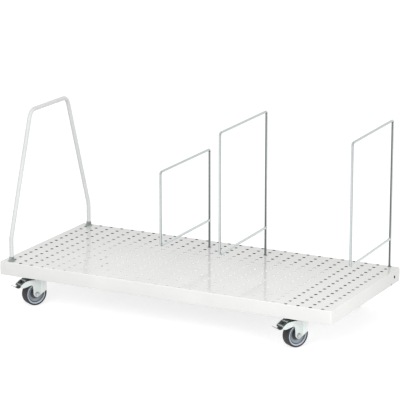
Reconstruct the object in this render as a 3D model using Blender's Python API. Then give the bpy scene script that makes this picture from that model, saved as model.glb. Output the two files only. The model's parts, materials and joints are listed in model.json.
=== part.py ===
"""Mobile carton rack: a perforated steel tray on four braked swivel castors, with a bent-tube end
frame bolted to its left end and wire dividers that plug into its holes.

Metres, +Z up. The origin is on the floor under the middle of the tray, +X runs along the tray away
from the end frame, and the castor pedals stick out at the front (-Y) and the rear (+Y).
"""

import math

import bmesh
import bpy
from mathutils import Matrix, Vector

# Fits
GAP = 0.0003
BOLT_CLEARANCE = 0.0003
PEG_CLEARANCE = 0.0004
PEDAL_SIDE_CLEARANCE = 0.001

# Deck tray
DECK_LENGTH = 1.200
DECK_WIDTH = 0.546
DECK_SHEET = 0.002
FLANGE_HEIGHT = 0.045
FOLD_RADIUS = 0.003
HOLE_SIZE = 0.010
HOLE_PITCH_X = 0.042
HOLE_PITCH_Y = 0.033
HOLE_LAND = 0.0008
PLAIN_END_STRIP = 0.025
FLANGE_HOLE_DIAMETER = 0.009
FLANGE_HOLE_INSET = 0.0445
FLANGE_HOLE_DROP = 0.022
NOTCH_WIDTH = 0.010
NOTCH_HEIGHT = 0.004
NOTCH_INSET = 0.0725

# Castor channels under the tray
CHANNEL_HEIGHT = 0.0406
CHANNEL_SHEET = 0.0025
CHANNEL_SIDE_LAND = 0.0035

# End frame and its nuts
FRAME_TUBE = 0.014
FRAME_FOOT_INSET = 0.0205
FRAME_STRAIGHT = 0.078
FRAME_HEIGHT = 0.484
FRAME_LEAN = 0.136
FRAME_LOWER_BEND = 0.050
FRAME_UPPER_BEND = 0.036
STUD_DIAMETER = 0.010
STUD_TAIL = 0.004
STUD_ANCHOR = 0.008
NUT_FLATS = 0.017
NUT_HEIGHT = 0.014
NUT_FLANGE_DIAMETER = 0.025
NUT_FLANGE_HEIGHT = 0.003

# Dividers: the legs' places are measured from the middle of the tray and moved to the nearest hole
WIRE = 0.008
WIRE_BEND = 0.009
DIVIDER_DEPTH = 0.358
DIVIDER_LOOP_FLOOR = 0.095
COLLAR_OVERHANG = 0.0012
COLLAR_HEIGHT = 0.0025
PEG_LENGTH = 0.018
SHORT_HEIGHT = 0.340
SHORT_LEG = (-0.063, 0.198)
SHORT_TWIST = math.radians(1.1)
TALL_HEIGHT = 0.491
MIDDLE_LEG = (0.147, 0.198)
MIDDLE_TWIST = math.radians(1.7)
RIGHT_LEG = (0.567, 0.264)
RIGHT_TWIST = math.radians(2.5)

# Castors
CASTOR_INSET_X = 0.123
CASTOR_INSET_Y = 0.0705
CASTOR_TURN = math.radians(28.5)
TRAIL = 0.035
WHEEL_DIAMETER = 0.080
TYRE_WIDTH = 0.030
TYRE_THICKNESS = 0.0055
TYRE_SHOULDER = 0.0022
RIM_INSET = 0.0015
RIM_RING = 0.006
RIM_WEB = 0.008
HUB_DIAMETER = 0.022
HUB_OVERHANG = 0.001
AXLE_DIAMETER = 0.008
AXLE_NUT_HEIGHT = 0.0065
AXLE_TAIL = 0.0012
FORK_SHEET = 0.0025
FORK_SIDE_GAP = 0.0025
FORK_FRONT = 0.037
FORK_FRONT_RISE = 0.0105
FORK_TOP_STEP = 0.001
AXLE_BOSS = 0.0105
AXLE_BOSS_START = math.radians(228)
NECK = (0.014, 0.018)
ARCH_CLEARANCE = 0.0015
ARCH_CORNER = (0.0185, 0.0325)
HOOD_BAND = 0.0085
HOOD_SHEET = 0.002
HOOD_SETBACK = 0.0005
HOOD_LOW_ANGLE = math.radians(40)
HOOD_HIGH_ANGLE = math.radians(58)
CHEEK_TOP_REACH = 0.026
CROWN_CLEARANCE = 0.0075
CROWN_SHEET = 0.004
CROWN_RADIUS = 0.027
RACE_HEIGHT = 0.007
RACE_RADIUS = 0.025
KING_PIN_DIAMETER = 0.012
KING_PIN_HEAD_RADIUS = 0.010
KING_PIN_HEAD_HEIGHT = 0.003
PLATE_LENGTH = 0.105
PLATE_WIDTH = 0.085
PLATE_SHEET = 0.003
PLATE_CORNER = 0.008
BOLT_SPACING_X = 0.080
BOLT_SPACING_Y = 0.060
BOLT_DIAMETER = 0.0076
BOLT_TAIL = 0.006
HEAD_FLATS = 0.013
HEAD_HEIGHT = 0.0053

# Horn of a fork leg beside the pedal: angles over the axle and distances beyond the arch
HORN_EDGE = (
    (math.radians(37), 0.0079),
    (math.radians(29.5), 0.0165),
    (math.radians(27.8), 0.0225),
    (math.radians(30), 0.0286),
    (math.radians(40.3), 0.0253),
    (math.radians(51), 0.0213),
)

# Brake pedal and its bent lip: points are measured from the axle, away from the king pin and up
PIVOT = (0.002, 0.046)
PIVOT_PIN = 0.005
PIVOT_BARREL = 0.009
LEVER_KNEE = (0.012, 0.049)
LEVER_SHELF = (0.026, 0.0495)
PEDAL_HEEL = (0.0345, 0.0523)
PEDAL_TOE = (0.060, 0.0333)
PAD_THICKNESS = 0.0045
LEVER_THICKNESS = 0.0025
LIP_SHEET = 0.0015
LIP_WIDTH = 0.024
LIP_GRIP = 0.022
LIP_CURL = 0.011
LIP_REACH = 0.013
LIP_RISE = math.radians(36)

# Facets
FOLD_STEPS = 2
ARC_STEPS = 4
BEND_STEPS = 4
ROUND_SIDES = 8
RACE_SIDES = 16
WHEEL_SIDES = 24
TUBE_RESOLUTION = 2
MERGE = 0.00001
SMOOTH_ANGLE = math.radians(40)

# Heights, from the floor up
AXLE_Z = WHEEL_DIAMETER / 2
CROWN_BOTTOM = WHEEL_DIAMETER + CROWN_CLEARANCE
CROWN_TOP = CROWN_BOTTOM + CROWN_SHEET
PLATE_BOTTOM = CROWN_TOP + GAP + RACE_HEIGHT
PLATE_TOP = PLATE_BOTTOM + PLATE_SHEET
CHANNEL_BOTTOM = PLATE_TOP + GAP
CHANNEL_TOP = CHANNEL_BOTTOM + CHANNEL_HEIGHT
DECK_UNDERSIDE = CHANNEL_TOP + GAP
DECK_TOP = DECK_UNDERSIDE + DECK_SHEET

# Across a wheel, from its middle plane outwards
FORK_INSIDE = TYRE_WIDTH / 2 + FORK_SIDE_GAP
FORK_OUTSIDE = FORK_INSIDE + FORK_SHEET

CASTOR_X = DECK_LENGTH / 2 - CASTOR_INSET_X
CASTOR_Y = DECK_WIDTH / 2 - CASTOR_INSET_Y

LYING = Matrix.Rotation(math.pi / 2, 4, "X")


def clear_scene():
    """Start from an empty scene."""
    for item in list(bpy.data.objects):
        bpy.data.objects.remove(item, do_unlink=True)


def finish(name, colour, roughness, metallic):
    """One paint, plating or plastic."""
    material = bpy.data.materials.new(name)
    material.use_nodes = True
    shader = material.node_tree.nodes["Principled BSDF"]
    shader.inputs["Base Color"].default_value = (*colour, 1)
    shader.inputs["Roughness"].default_value = roughness
    shader.inputs["Metallic"].default_value = metallic
    return material


def place(name, mesh, location=(0, 0, 0), turn=0, parent=None):
    """Put a mesh into the scene as one named piece, or an empty where there is no mesh."""
    piece = bpy.data.objects.new(name, mesh)
    piece.location = location
    piece.rotation_euler = (0, 0, turn)
    piece.parent = parent
    bpy.context.collection.objects.link(piece)
    return piece


def dressed(mesh, material):
    """Give a mesh its material and smooth shading with its hard edges kept."""
    mesh.materials.append(material)
    mesh.shade_smooth()
    mesh.set_sharp_from_angle(angle=SMOOTH_ANGLE)
    return mesh


def arc(centre, radius, start, end, steps=ARC_STEPS):
    """Points along an arc, both ends included."""
    points = []
    for step in range(steps + 1):
        angle = start + (end - start) * step / steps
        points.append((centre[0] + radius * math.cos(angle), centre[1] + radius * math.sin(angle)))
    return points


def circle(radius, sides, centre=(0, 0)):
    """Points round a circle."""
    return arc(centre, radius, 0, 2 * math.pi * (1 - 1 / sides), sides - 1)


def hexagon(flats):
    """Corners of a hexagon, from its width across flats."""
    return circle(flats / math.sqrt(3), 6)


def rectangle(length, width, centre=(0, 0)):
    """Corners of a rectangle."""
    signs = ((-1, -1), (1, -1), (1, 1), (-1, 1))
    return [(centre[0] + x * length / 2, centre[1] + y * width / 2) for x, y in signs]


def bent(corners, radii):
    """A path through corners with each inner corner rounded, as a tube bender leaves it."""
    path = [corners[0]]
    for before, corner, after, radius in zip(corners, corners[1:], corners[2:], radii):
        inward = (before - corner).normalized()
        outward = (after - corner).normalized()
        half = inward.angle(outward) / 2
        centre = corner + (inward + outward).normalized() * (radius / math.sin(half))
        spoke = corner + inward * (radius / math.tan(half)) - centre
        axis = outward.cross(inward)
        for step in range(BEND_STEPS + 1):
            turn = Matrix.Rotation((math.pi - 2 * half) * step / BEND_STEPS, 3, axis)
            path.append(centre + turn @ spoke)
    path.append(corners[-1])
    return path


def strip(path, thickness):
    """Outline of a bent strip of even thickness along a flat path."""
    headings = [math.atan2(b[1] - a[1], b[0] - a[0]) for a, b in zip(path, path[1:])]
    upper = []
    lower = []
    for point, into, out in zip(path, [headings[0], *headings], [*headings, headings[-1]]):
        heading = (into + out) / 2
        reach = thickness / 2 / math.cos((out - into) / 2)
        upper.append((point[0] - reach * math.sin(heading), point[1] + reach * math.cos(heading)))
        lower.append((point[0] + reach * math.sin(heading), point[1] - reach * math.cos(heading)))
    return upper + lower[::-1]


def ring(bm, points, closed=True):
    """Add points and the edges that join them in turn."""
    verts = [bm.verts.new(point) for point in points]
    edges = [bm.edges.new(pair) for pair in zip(verts, verts[1:])]
    if closed:
        edges.append(bm.edges.new((verts[-1], verts[0])))
    return verts, edges


def bridge(bm, lower, upper):
    """Join two rings of equally many points with a band of faces."""
    for index in range(len(lower)):
        following = (index + 1) % len(lower)
        bm.faces.new((lower[index], lower[following], upper[following], upper[index]))


def closed_mesh(bm, name):
    """Turn a finished bmesh into a mesh with its faces pointing out."""
    bmesh.ops.remove_doubles(bm, verts=bm.verts[:], dist=MERGE)
    bmesh.ops.recalc_face_normals(bm, faces=bm.faces[:])
    mesh = bpy.data.meshes.new(name)
    bm.to_mesh(mesh)
    bm.free()
    return mesh


def prism(name, outline, bottom, top, holes=()):
    """A plate with the given outline and holes, between two heights."""
    bm = bmesh.new()
    edges = []
    for loop in (outline, *holes):
        edges += ring(bm, [(x, y, bottom) for x, y in loop])[1]
    bmesh.ops.triangle_fill(bm, use_beauty=True, edges=edges)
    grown = bmesh.ops.extrude_face_region(bm, geom=bm.faces[:])["geom"]
    raised = [item for item in grown if isinstance(item, bmesh.types.BMVert)]
    bmesh.ops.translate(bm, verts=raised, vec=(0, 0, top - bottom))
    return closed_mesh(bm, name)


def side_plate(name, outline, near, far, holes=()):
    """A plate whose outline is drawn from the side, in X and Z, between two places along Y."""
    mesh = prism(name, outline, -far, -near, holes)
    mesh.transform(LYING)
    return mesh


def turned(name, profile, sides, closed=True):
    """A turned piece about Z. Its profile is radius and height; an open one ends on the axis."""
    bm = bmesh.new()
    verts, edges = ring(bm, [(radius, 0, height) for radius, height in profile], closed)
    bmesh.ops.spin(bm, geom=verts + edges, axis=(0, 0, 1), angle=2 * math.pi, steps=sides, use_merge=True)
    return closed_mesh(bm, name)


def evaluated_mesh(guide):
    """The mesh of an object with its bevel and modifiers worked out."""
    bpy.context.collection.objects.link(guide)
    depsgraph = bpy.context.evaluated_depsgraph_get()
    return bpy.data.meshes.new_from_object(guide.evaluated_get(depsgraph))


def tube(name, path, diameter):
    """A round bar or tube along a path."""
    curve = bpy.data.curves.new(name, "CURVE")
    curve.dimensions = "3D"
    curve.bevel_depth = diameter / 2
    curve.bevel_resolution = TUBE_RESOLUTION
    curve.use_fill_caps = True
    spline = curve.splines.new("POLY")
    spline.points.add(len(path) - 1)
    for point, spot in zip(spline.points, path):
        point.co = (*spot, 1)
    guide = bpy.data.objects.new(name, curve)
    mesh = evaluated_mesh(guide)
    bpy.data.objects.remove(guide)
    return mesh


def carved(base, tools, operation):
    """A mesh joined with, or cut by, other meshes."""
    guide = bpy.data.objects.new(base.name, base)
    helpers = [guide]
    for tool in tools:
        helper = bpy.data.objects.new(tool.name, tool)
        bpy.context.collection.objects.link(helper)
        helpers.append(helper)
        modifier = guide.modifiers.new(tool.name, "BOOLEAN")
        modifier.operation = operation
        modifier.solver = "EXACT"
        modifier.use_self = operation == "UNION"
        modifier.object = helper
    mesh = evaluated_mesh(guide)
    for helper in helpers:
        bpy.data.objects.remove(helper)
    return mesh


def joined(base, *others):
    """Several meshes welded into one body."""
    return carved(base, others, "UNION")


def cut(base, *cutters):
    """A mesh with other meshes cut out of it."""
    return carved(base, cutters, "DIFFERENCE")


def spread(span, pitch, margin):
    """Even places along a span, centred, with at least a margin at each end."""
    count = int((span - 2 * margin) / pitch) + 1
    return [pitch * (index - (count - 1) / 2) for index in range(count)]


def nearest(values, target):
    """The value that is closest to a target."""
    return min(values, key=lambda value: abs(value - target))


HOLE_X = spread(DECK_LENGTH, HOLE_PITCH_X, PLAIN_END_STRIP + HOLE_SIZE / 2)
HOLE_Y = spread(DECK_WIDTH, HOLE_PITCH_Y, FOLD_RADIUS + HOLE_LAND + HOLE_SIZE / 2)
FRAME_X = HOLE_X[0]
FRAME_FOOT_Y = DECK_WIDTH / 2 - FRAME_FOOT_INSET


def under_nut(x, y):
    """Whether a hole of the grid would lie under a foot nut of the end frame."""
    reach = (NUT_FLANGE_DIAMETER + HOLE_SIZE) / 2
    return abs(x - FRAME_X) < reach and abs(abs(y) - FRAME_FOOT_Y) < reach


def deck_holes():
    """Outlines of all holes through the deck: the grid and the two feet of the end frame."""
    stud_hole = STUD_DIAMETER / 2 + BOLT_CLEARANCE
    outlines = [circle(stud_hole, ROUND_SIDES, (FRAME_X, side * FRAME_FOOT_Y)) for side in (-1, 1)]
    for x in HOLE_X:
        for y in HOLE_Y:
            if not under_nut(x, y):
                outlines.append(rectangle(HOLE_SIZE, HOLE_SIZE, (x, y)))
    return outlines


def tray_section():
    """Section of the folded edge, as distance in from the outer face and distance below the deck top."""
    inside = FOLD_RADIUS - DECK_SHEET
    section = []
    for step in range(FOLD_STEPS + 1):
        angle = math.pi / 2 * step / FOLD_STEPS
        section.append((FOLD_RADIUS * (1 - math.sin(angle)), FOLD_RADIUS * (1 - math.cos(angle))))
    section += [(0, FLANGE_HEIGHT), (DECK_SHEET, FLANGE_HEIGHT)]
    for step in range(FOLD_STEPS + 1):
        angle = math.pi / 2 * (1 - step / FOLD_STEPS)
        section.append((FOLD_RADIUS - inside * math.sin(angle), FOLD_RADIUS - inside * math.cos(angle)))
    return section


def tray_mesh():
    """Folded tray with its flanges down, its grid of holes and the cuts in its right flange."""
    bm = bmesh.new()
    rings = []
    for inset, drop in tray_section():
        corners = rectangle(DECK_LENGTH - 2 * inset, DECK_WIDTH - 2 * inset)
        rings.append(ring(bm, [(x, y, DECK_TOP - drop) for x, y in corners]))
    for outer, inner in zip(rings, rings[1:]):
        bridge(bm, outer[0], inner[0])
    upper_edges = list(rings[0][1])
    lower_edges = list(rings[-1][1])
    for outline in deck_holes():
        upper, edges = ring(bm, [(x, y, DECK_TOP) for x, y in outline])
        upper_edges += edges
        lower, edges = ring(bm, [(x, y, DECK_UNDERSIDE) for x, y in outline])
        lower_edges += edges
        bridge(bm, lower, upper)
    bmesh.ops.triangle_fill(bm, use_beauty=True, edges=upper_edges)
    bmesh.ops.triangle_fill(bm, use_beauty=True, edges=lower_edges)
    return cut(closed_mesh(bm, "deck_tray"), *flange_cutters())


def flange_cutters():
    """Round hole and small notch in the right flange, near the rear corner."""
    rear = DECK_WIDTH / 2
    hole = (rear - FLANGE_HOLE_INSET, DECK_TOP - FLANGE_HOLE_DROP)
    notch = (rear - NOTCH_INSET, DECK_TOP - FLANGE_HEIGHT)
    outlines = (
        circle(FLANGE_HOLE_DIAMETER / 2, ROUND_SIDES, hole),
        rectangle(NOTCH_WIDTH, 2 * NOTCH_HEIGHT, notch),
    )
    cutters = []
    for outline in outlines:
        cutter = side_plate("flange_cut", outline, -DECK_SHEET, 2 * DECK_SHEET)
        cutter.transform(Matrix.Translation((DECK_LENGTH / 2, 0, 0)) @ Matrix.Rotation(math.pi / 2, 4, "Z"))
        cutters.append(cutter)
    return cutters


def bolt_places():
    """Places of the four plate bolts round a castor's king pin."""
    return rectangle(BOLT_SPACING_X, BOLT_SPACING_Y)


def bolt_hole(x, y):
    """Outline of a drilled hole for a plate bolt."""
    return circle(BOLT_DIAMETER / 2 + BOLT_CLEARANCE, ROUND_SIDES, (x, y))


def channel_mesh():
    """Channel across the tray, open at the top, drilled for the plate bolts of two castors."""
    outside = PLATE_LENGTH / 2 + CHANNEL_SIDE_LAND + CHANNEL_SHEET
    inside = outside - CHANNEL_SHEET
    half_length = DECK_WIDTH / 2 - DECK_SHEET - GAP
    floor = CHANNEL_BOTTOM + CHANNEL_SHEET
    half = [(outside, CHANNEL_BOTTOM), (outside, CHANNEL_TOP), (inside, CHANNEL_TOP), (inside, floor)]
    outline = half + [(-x, z) for x, z in reversed(half)]
    body = side_plate("castor_channel", outline, -half_length, half_length)
    drills = []
    for side in (-1, 1):
        for x, y in bolt_places():
            hole = bolt_hole(x, y + side * CASTOR_Y)
            drills.append(prism("bolt_hole", hole, CHANNEL_BOTTOM - CHANNEL_SHEET, floor + CHANNEL_SHEET))
    return cut(body, *drills)


def flange_nut_mesh():
    """Hexagon nut with a wide flange, seated on Z = 0."""
    flange = prism("nut_flange", circle(NUT_FLANGE_DIAMETER / 2, RACE_SIDES), 0, NUT_FLANGE_HEIGHT)
    body = prism("nut_body", hexagon(NUT_FLATS), NUT_FLANGE_HEIGHT / 2, NUT_HEIGHT)
    bore = circle(STUD_DIAMETER / 2 + BOLT_CLEARANCE, ROUND_SIDES)
    return cut(joined(flange, body), prism("nut_bore", bore, -NUT_HEIGHT, 2 * NUT_HEIGHT))


def end_frame_mesh():
    """Bent tube with a threaded stud at each foot, in the Y and Z plane with the deck top at Z = 0."""
    foot_z = 2 * GAP + NUT_HEIGHT
    shoulder_y = FRAME_FOOT_Y - FRAME_LEAN
    half = [(FRAME_FOOT_Y, foot_z), (FRAME_FOOT_Y, FRAME_STRAIGHT), (shoulder_y, FRAME_HEIGHT)]
    corners = [Vector((0, -y, z)) for y, z in half]
    corners += [Vector((0, y, z)) for y, z in reversed(half)]
    bends = (FRAME_LOWER_BEND, FRAME_UPPER_BEND, FRAME_UPPER_BEND, FRAME_LOWER_BEND)
    hoop = tube("end_frame", bent(corners, bends), FRAME_TUBE)
    stud_end = -(DECK_SHEET + GAP + NUT_HEIGHT + STUD_TAIL)
    studs = []
    for side in (-1, 1):
        stud = circle(STUD_DIAMETER / 2, ROUND_SIDES, (0, side * FRAME_FOOT_Y))
        studs.append(prism("stud", stud, stud_end, foot_z + STUD_ANCHOR))
    return joined(hoop, *studs)


def divider_mesh(height):
    """Flag of bent wire, its leg on the Z axis, with a collar on the deck at Z = 0 and a square peg."""
    corners = [
        Vector((0, 0, DIVIDER_LOOP_FLOOR)),
        Vector((0, -DIVIDER_DEPTH, DIVIDER_LOOP_FLOOR)),
        Vector((0, -DIVIDER_DEPTH, height)),
        Vector((0, 0, height)),
        Vector((0, 0, GAP + COLLAR_HEIGHT / 2)),
    ]
    loop = tube("divider", bent(corners, [WIRE_BEND] * 3), WIRE)
    collar_radius = HOLE_SIZE / 2 + COLLAR_OVERHANG
    collar = prism("collar", circle(collar_radius, RACE_SIDES), GAP, GAP + COLLAR_HEIGHT)
    peg_size = HOLE_SIZE - 2 * PEG_CLEARANCE
    peg = prism("peg", rectangle(peg_size, peg_size), -PEG_LENGTH, GAP + COLLAR_HEIGHT / 2)
    return joined(loop, collar, peg)


def bolt_mesh(diameter, length):
    """Hexagon bolt with its head under Z = 0 and its shank up to a length."""
    head = prism("bolt_head", hexagon(HEAD_FLATS), -HEAD_HEIGHT, 0)
    shank = prism("bolt_shank", circle(diameter / 2, ROUND_SIDES), -HEAD_HEIGHT / 2, length)
    return joined(head, shank)


def castor_plate_mesh():
    """Top plate with its bolt holes, the fixed half of the ball race and the riveted king pin."""
    outline = []
    x = PLATE_LENGTH / 2 - PLATE_CORNER
    y = PLATE_WIDTH / 2 - PLATE_CORNER
    for quarter, corner in enumerate(((x, y), (-x, y), (-x, -y), (x, -y))):
        start = math.pi / 2 * quarter
        outline += arc(corner, PLATE_CORNER, start, start + math.pi / 2, FOLD_STEPS)
    holes = [bolt_hole(*spot) for spot in bolt_places()]
    plate = prism("castor_plate", outline, PLATE_BOTTOM, PLATE_TOP, holes)
    race_top = PLATE_BOTTOM + PLATE_SHEET / 2
    race_bottom = CROWN_TOP + GAP
    head_top = CROWN_BOTTOM - GAP
    head_bottom = head_top - KING_PIN_HEAD_HEIGHT
    pin = KING_PIN_DIAMETER / 2
    profile = [(0, race_top), (RACE_RADIUS, race_top), (RACE_RADIUS, race_bottom), (pin, race_bottom)]
    profile += [(pin, head_top), (KING_PIN_HEAD_RADIUS, head_top), (KING_PIN_HEAD_RADIUS, head_bottom)]
    profile += [(0, head_bottom)]
    return joined(plate, turned("king_pin", profile, RACE_SIDES, closed=False))


def fork_cheek():
    """Side outline of a fork leg with the horn that flanks the pedal, measured from the axle."""
    top = CROWN_TOP - FORK_TOP_STEP - AXLE_Z
    arch = AXLE_Z + ARCH_CLEARANCE
    outline = [(CHEEK_TOP_REACH, top), (-FORK_FRONT, top), (-FORK_FRONT, FORK_FRONT_RISE)]
    outline += arc((0, 0), AXLE_BOSS, AXLE_BOSS_START, 2 * math.pi)
    outline += [NECK, ARCH_CORNER]
    for angle, rise in HORN_EDGE:
        outline.append(((arch + rise) * math.cos(angle), (arch + rise) * math.sin(angle)))
    return outline


def fork_mesh():
    """Pressed fork: round crown under the race, two horned cheeks, and a hood over the back of the tyre."""
    axle_hole = circle(AXLE_DIAMETER / 2 + BOLT_CLEARANCE, ROUND_SIDES)
    pivot_hole = circle(PIVOT_PIN / 2 + BOLT_CLEARANCE, ROUND_SIDES, PIVOT)
    cheek = fork_cheek()
    hood_outer = AXLE_Z + ARCH_CLEARANCE + HOOD_BAND - HOOD_SETBACK
    hood = arc((0, 0), hood_outer, HOOD_LOW_ANGLE, HOOD_HIGH_ANGLE)
    hood += arc((0, 0), hood_outer - HOOD_SHEET, HOOD_HIGH_ANGLE, HOOD_LOW_ANGLE)
    hood_half = FORK_INSIDE + FORK_SHEET / 2
    plates = (
        side_plate("cheek", cheek, FORK_INSIDE, FORK_OUTSIDE, (axle_hole, pivot_hole)),
        side_plate("cheek", cheek, -FORK_OUTSIDE, -FORK_INSIDE, (axle_hole, pivot_hole)),
        side_plate("hood", hood, -hood_half, hood_half),
    )
    for plate in plates:
        plate.transform(Matrix.Translation((TRAIL, 0, AXLE_Z)))
    king_hole = circle(KING_PIN_DIAMETER / 2 + BOLT_CLEARANCE, RACE_SIDES)
    crown = prism("fork", circle(CROWN_RADIUS, RACE_SIDES), CROWN_BOTTOM, CROWN_TOP, (king_hole,))
    return joined(crown, *plates)


def rim_mesh():
    """Moulded wheel centre with hub, web and outer ring, its axle along Y."""
    bore = AXLE_DIAMETER / 2 + BOLT_CLEARANCE
    hub = HUB_DIAMETER / 2
    outer = AXLE_Z - TYRE_THICKNESS - GAP
    inner = outer - RIM_RING
    hub_half = TYRE_WIDTH / 2 + HUB_OVERHANG
    ring_half = TYRE_WIDTH / 2 - RIM_INSET
    web_half = RIM_WEB / 2
    half = [(bore, hub_half), (hub, hub_half), (hub, web_half), (inner, web_half), (inner, ring_half)]
    half += [(outer, ring_half)]
    profile = half + [(radius, -height) for radius, height in reversed(half)]
    mesh = turned("wheel_rim", profile, WHEEL_SIDES)
    mesh.transform(LYING)
    return mesh


def tyre_mesh():
    """Solid tyre with rounded shoulders, its axle along Y."""
    half = TYRE_WIDTH / 2
    inner = AXLE_Z - TYRE_THICKNESS
    shoulder = AXLE_Z - TYRE_SHOULDER
    side = [(inner, half), (shoulder, half), (AXLE_Z, half - TYRE_SHOULDER)]
    profile = side + [(radius, -height) for radius, height in reversed(side)]
    mesh = turned("tyre", profile, WHEEL_SIDES)
    mesh.transform(LYING)
    return mesh


def axle_bolt_mesh():
    """Axle bolt along Y with its head beyond the fork, measured from the axle's middle."""
    seat = FORK_OUTSIDE + GAP
    mesh = bolt_mesh(AXLE_DIAMETER, 2 * seat + AXLE_NUT_HEIGHT + AXLE_TAIL)
    mesh.transform(Matrix.Translation((0, seat, 0)) @ LYING)
    return mesh


def axle_nut_mesh():
    """Nut on the tail of the axle bolt."""
    seat = FORK_OUTSIDE + GAP
    bore = circle(AXLE_DIAMETER / 2 + BOLT_CLEARANCE, ROUND_SIDES)
    return side_plate("axle_nut", hexagon(HEAD_FLATS), -seat - AXLE_NUT_HEIGHT, -seat, (bore,))


def pedal_mesh():
    """Brake lever with its foot pad between the fork's horns, its cam barrel and its pin."""
    lever_half = FORK_INSIDE - PEDAL_SIDE_CLEARANCE
    barrel_half = lever_half - PEDAL_SIDE_CLEARANCE
    pin_half = FORK_OUTSIDE - GAP
    neck = tuple(shelf + (heel - shelf) / 2 for shelf, heel in zip(LEVER_SHELF, PEDAL_HEEL))
    lever = strip([PIVOT, LEVER_KNEE, LEVER_SHELF, neck, PEDAL_HEEL], LEVER_THICKNESS)
    pad = strip([neck, PEDAL_HEEL, PEDAL_TOE], PAD_THICKNESS)
    mesh = joined(
        side_plate("brake_pedal", pad, -lever_half, lever_half),
        side_plate("lever", lever, -lever_half, lever_half),
        side_plate("barrel", circle(PIVOT_BARREL / 2, ROUND_SIDES, PIVOT), -barrel_half, barrel_half),
        side_plate("pin", circle(PIVOT_PIN / 2, ROUND_SIDES, PIVOT), -pin_half, pin_half),
    )
    mesh.transform(Matrix.Translation((-PIVOT[0], 0, -PIVOT[1])))
    return mesh


def lip_mesh():
    """Steel lip under the pad, which runs on past the toe and curls up."""
    slope = math.atan2(PEDAL_TOE[1] - PEDAL_HEEL[1], PEDAL_TOE[0] - PEDAL_HEEL[0])
    drop = (PAD_THICKNESS + LIP_SHEET) / 2 + GAP
    toe = (PEDAL_TOE[0] + drop * math.sin(slope), PEDAL_TOE[1] - drop * math.cos(slope))
    start = (toe[0] - LIP_GRIP * math.cos(slope), toe[1] - LIP_GRIP * math.sin(slope))
    centre = (toe[0] - LIP_CURL * math.sin(slope), toe[1] + LIP_CURL * math.cos(slope))
    path = [start] + arc(centre, LIP_CURL, slope - math.pi / 2, LIP_RISE - math.pi / 2)
    end = path[-1]
    path.append((end[0] + LIP_REACH * math.cos(LIP_RISE), end[1] + LIP_REACH * math.sin(LIP_RISE)))
    mesh = side_plate("pedal_lip", strip(path, LIP_SHEET), -LIP_WIDTH / 2, LIP_WIDTH / 2)
    mesh.transform(Matrix.Translation((-PIVOT[0], 0, -PIVOT[1])))
    return mesh


def build_deck(paint, steel):
    """Tray and the two channels welded under it."""
    place("deck_tray", dressed(tray_mesh(), paint))
    channel = dressed(channel_mesh(), steel)
    place("castor_channel_left", channel, (-CASTOR_X, 0, 0))
    place("castor_channel_right", channel, (CASTOR_X, 0, 0))


def build_end_frame(paint, zinc):
    """End frame with a nut above and a nut below the deck at each foot."""
    place("end_frame", dressed(end_frame_mesh(), paint), (FRAME_X, 0, DECK_TOP))
    upper = dressed(flange_nut_mesh(), zinc)
    lower = upper.copy()
    lower.transform(Matrix.Rotation(math.pi, 4, "X"))
    for side, y in (("front", -FRAME_FOOT_Y), ("rear", FRAME_FOOT_Y)):
        place(f"frame_nut_{side}", upper, (FRAME_X, y, DECK_TOP + GAP))
        place(f"frame_lock_nut_{side}", lower, (FRAME_X, y, DECK_UNDERSIDE - GAP))


def build_dividers(zinc):
    """Wire dividers, each with its leg in the hole nearest to its place."""
    rows = (
        ("divider_short", SHORT_LEG, SHORT_HEIGHT, SHORT_TWIST),
        ("divider_tall_middle", MIDDLE_LEG, TALL_HEIGHT, MIDDLE_TWIST),
        ("divider_tall_right", RIGHT_LEG, TALL_HEIGHT, RIGHT_TWIST),
    )
    for name, leg, height, twist in rows:
        spot = (nearest(HOLE_X, leg[0]), nearest(HOLE_Y, leg[1]), DECK_TOP)
        place(name, dressed(divider_mesh(height), zinc), spot, twist)


def build_castors(zinc, steel, plastic, rubber, pedal_plastic):
    """Four braked swivel castors, all pointing outwards and turned a little to the left."""
    plate = dressed(castor_plate_mesh(), zinc)
    plate_bolt = dressed(bolt_mesh(BOLT_DIAMETER, 2 * GAP + PLATE_SHEET + CHANNEL_SHEET + BOLT_TAIL), steel)
    fork = dressed(fork_mesh(), zinc)
    axle_bolt = dressed(axle_bolt_mesh(), steel)
    axle_nut = dressed(axle_nut_mesh(), steel)
    rim = dressed(rim_mesh(), plastic)
    tyre = dressed(tyre_mesh(), rubber)
    pedal = dressed(pedal_mesh(), pedal_plastic)
    lip = dressed(lip_mesh(), steel)
    axle = (TRAIL, 0, AXLE_Z)
    hinge = (TRAIL + PIVOT[0], 0, AXLE_Z + PIVOT[1])
    for end, side_y in (("front", -1), ("rear", 1)):
        for hand, side_x in (("left", -1), ("right", 1)):
            name = f"{end}_{hand}"
            spot = (side_x * CASTOR_X, side_y * CASTOR_Y, 0)
            place(f"{name}_castor_plate", plate, spot)
            for number, (x, y) in enumerate(bolt_places(), 1):
                bolt_spot = (spot[0] + x, spot[1] + y, PLATE_BOTTOM - GAP)
                place(f"{name}_plate_bolt_{number}", plate_bolt, bolt_spot)
            swivel = place(f"{name}_swivel", None, spot, side_y * (math.pi / 2 + CASTOR_TURN))
            place(f"{name}_fork", fork, parent=swivel)
            place(f"{name}_axle_bolt", axle_bolt, axle, parent=swivel)
            place(f"{name}_axle_nut", axle_nut, axle, parent=swivel)
            spin = place(f"{name}_wheel_spin", None, axle, parent=swivel)
            place(f"{name}_wheel_rim", rim, parent=spin)
            place(f"{name}_tyre", tyre, parent=spin)
            press = place(f"{name}_pedal_hinge", None, hinge, parent=swivel)
            place(f"{name}_brake_pedal", pedal, parent=press)
            place(f"{name}_pedal_lip", lip, parent=press)


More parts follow.
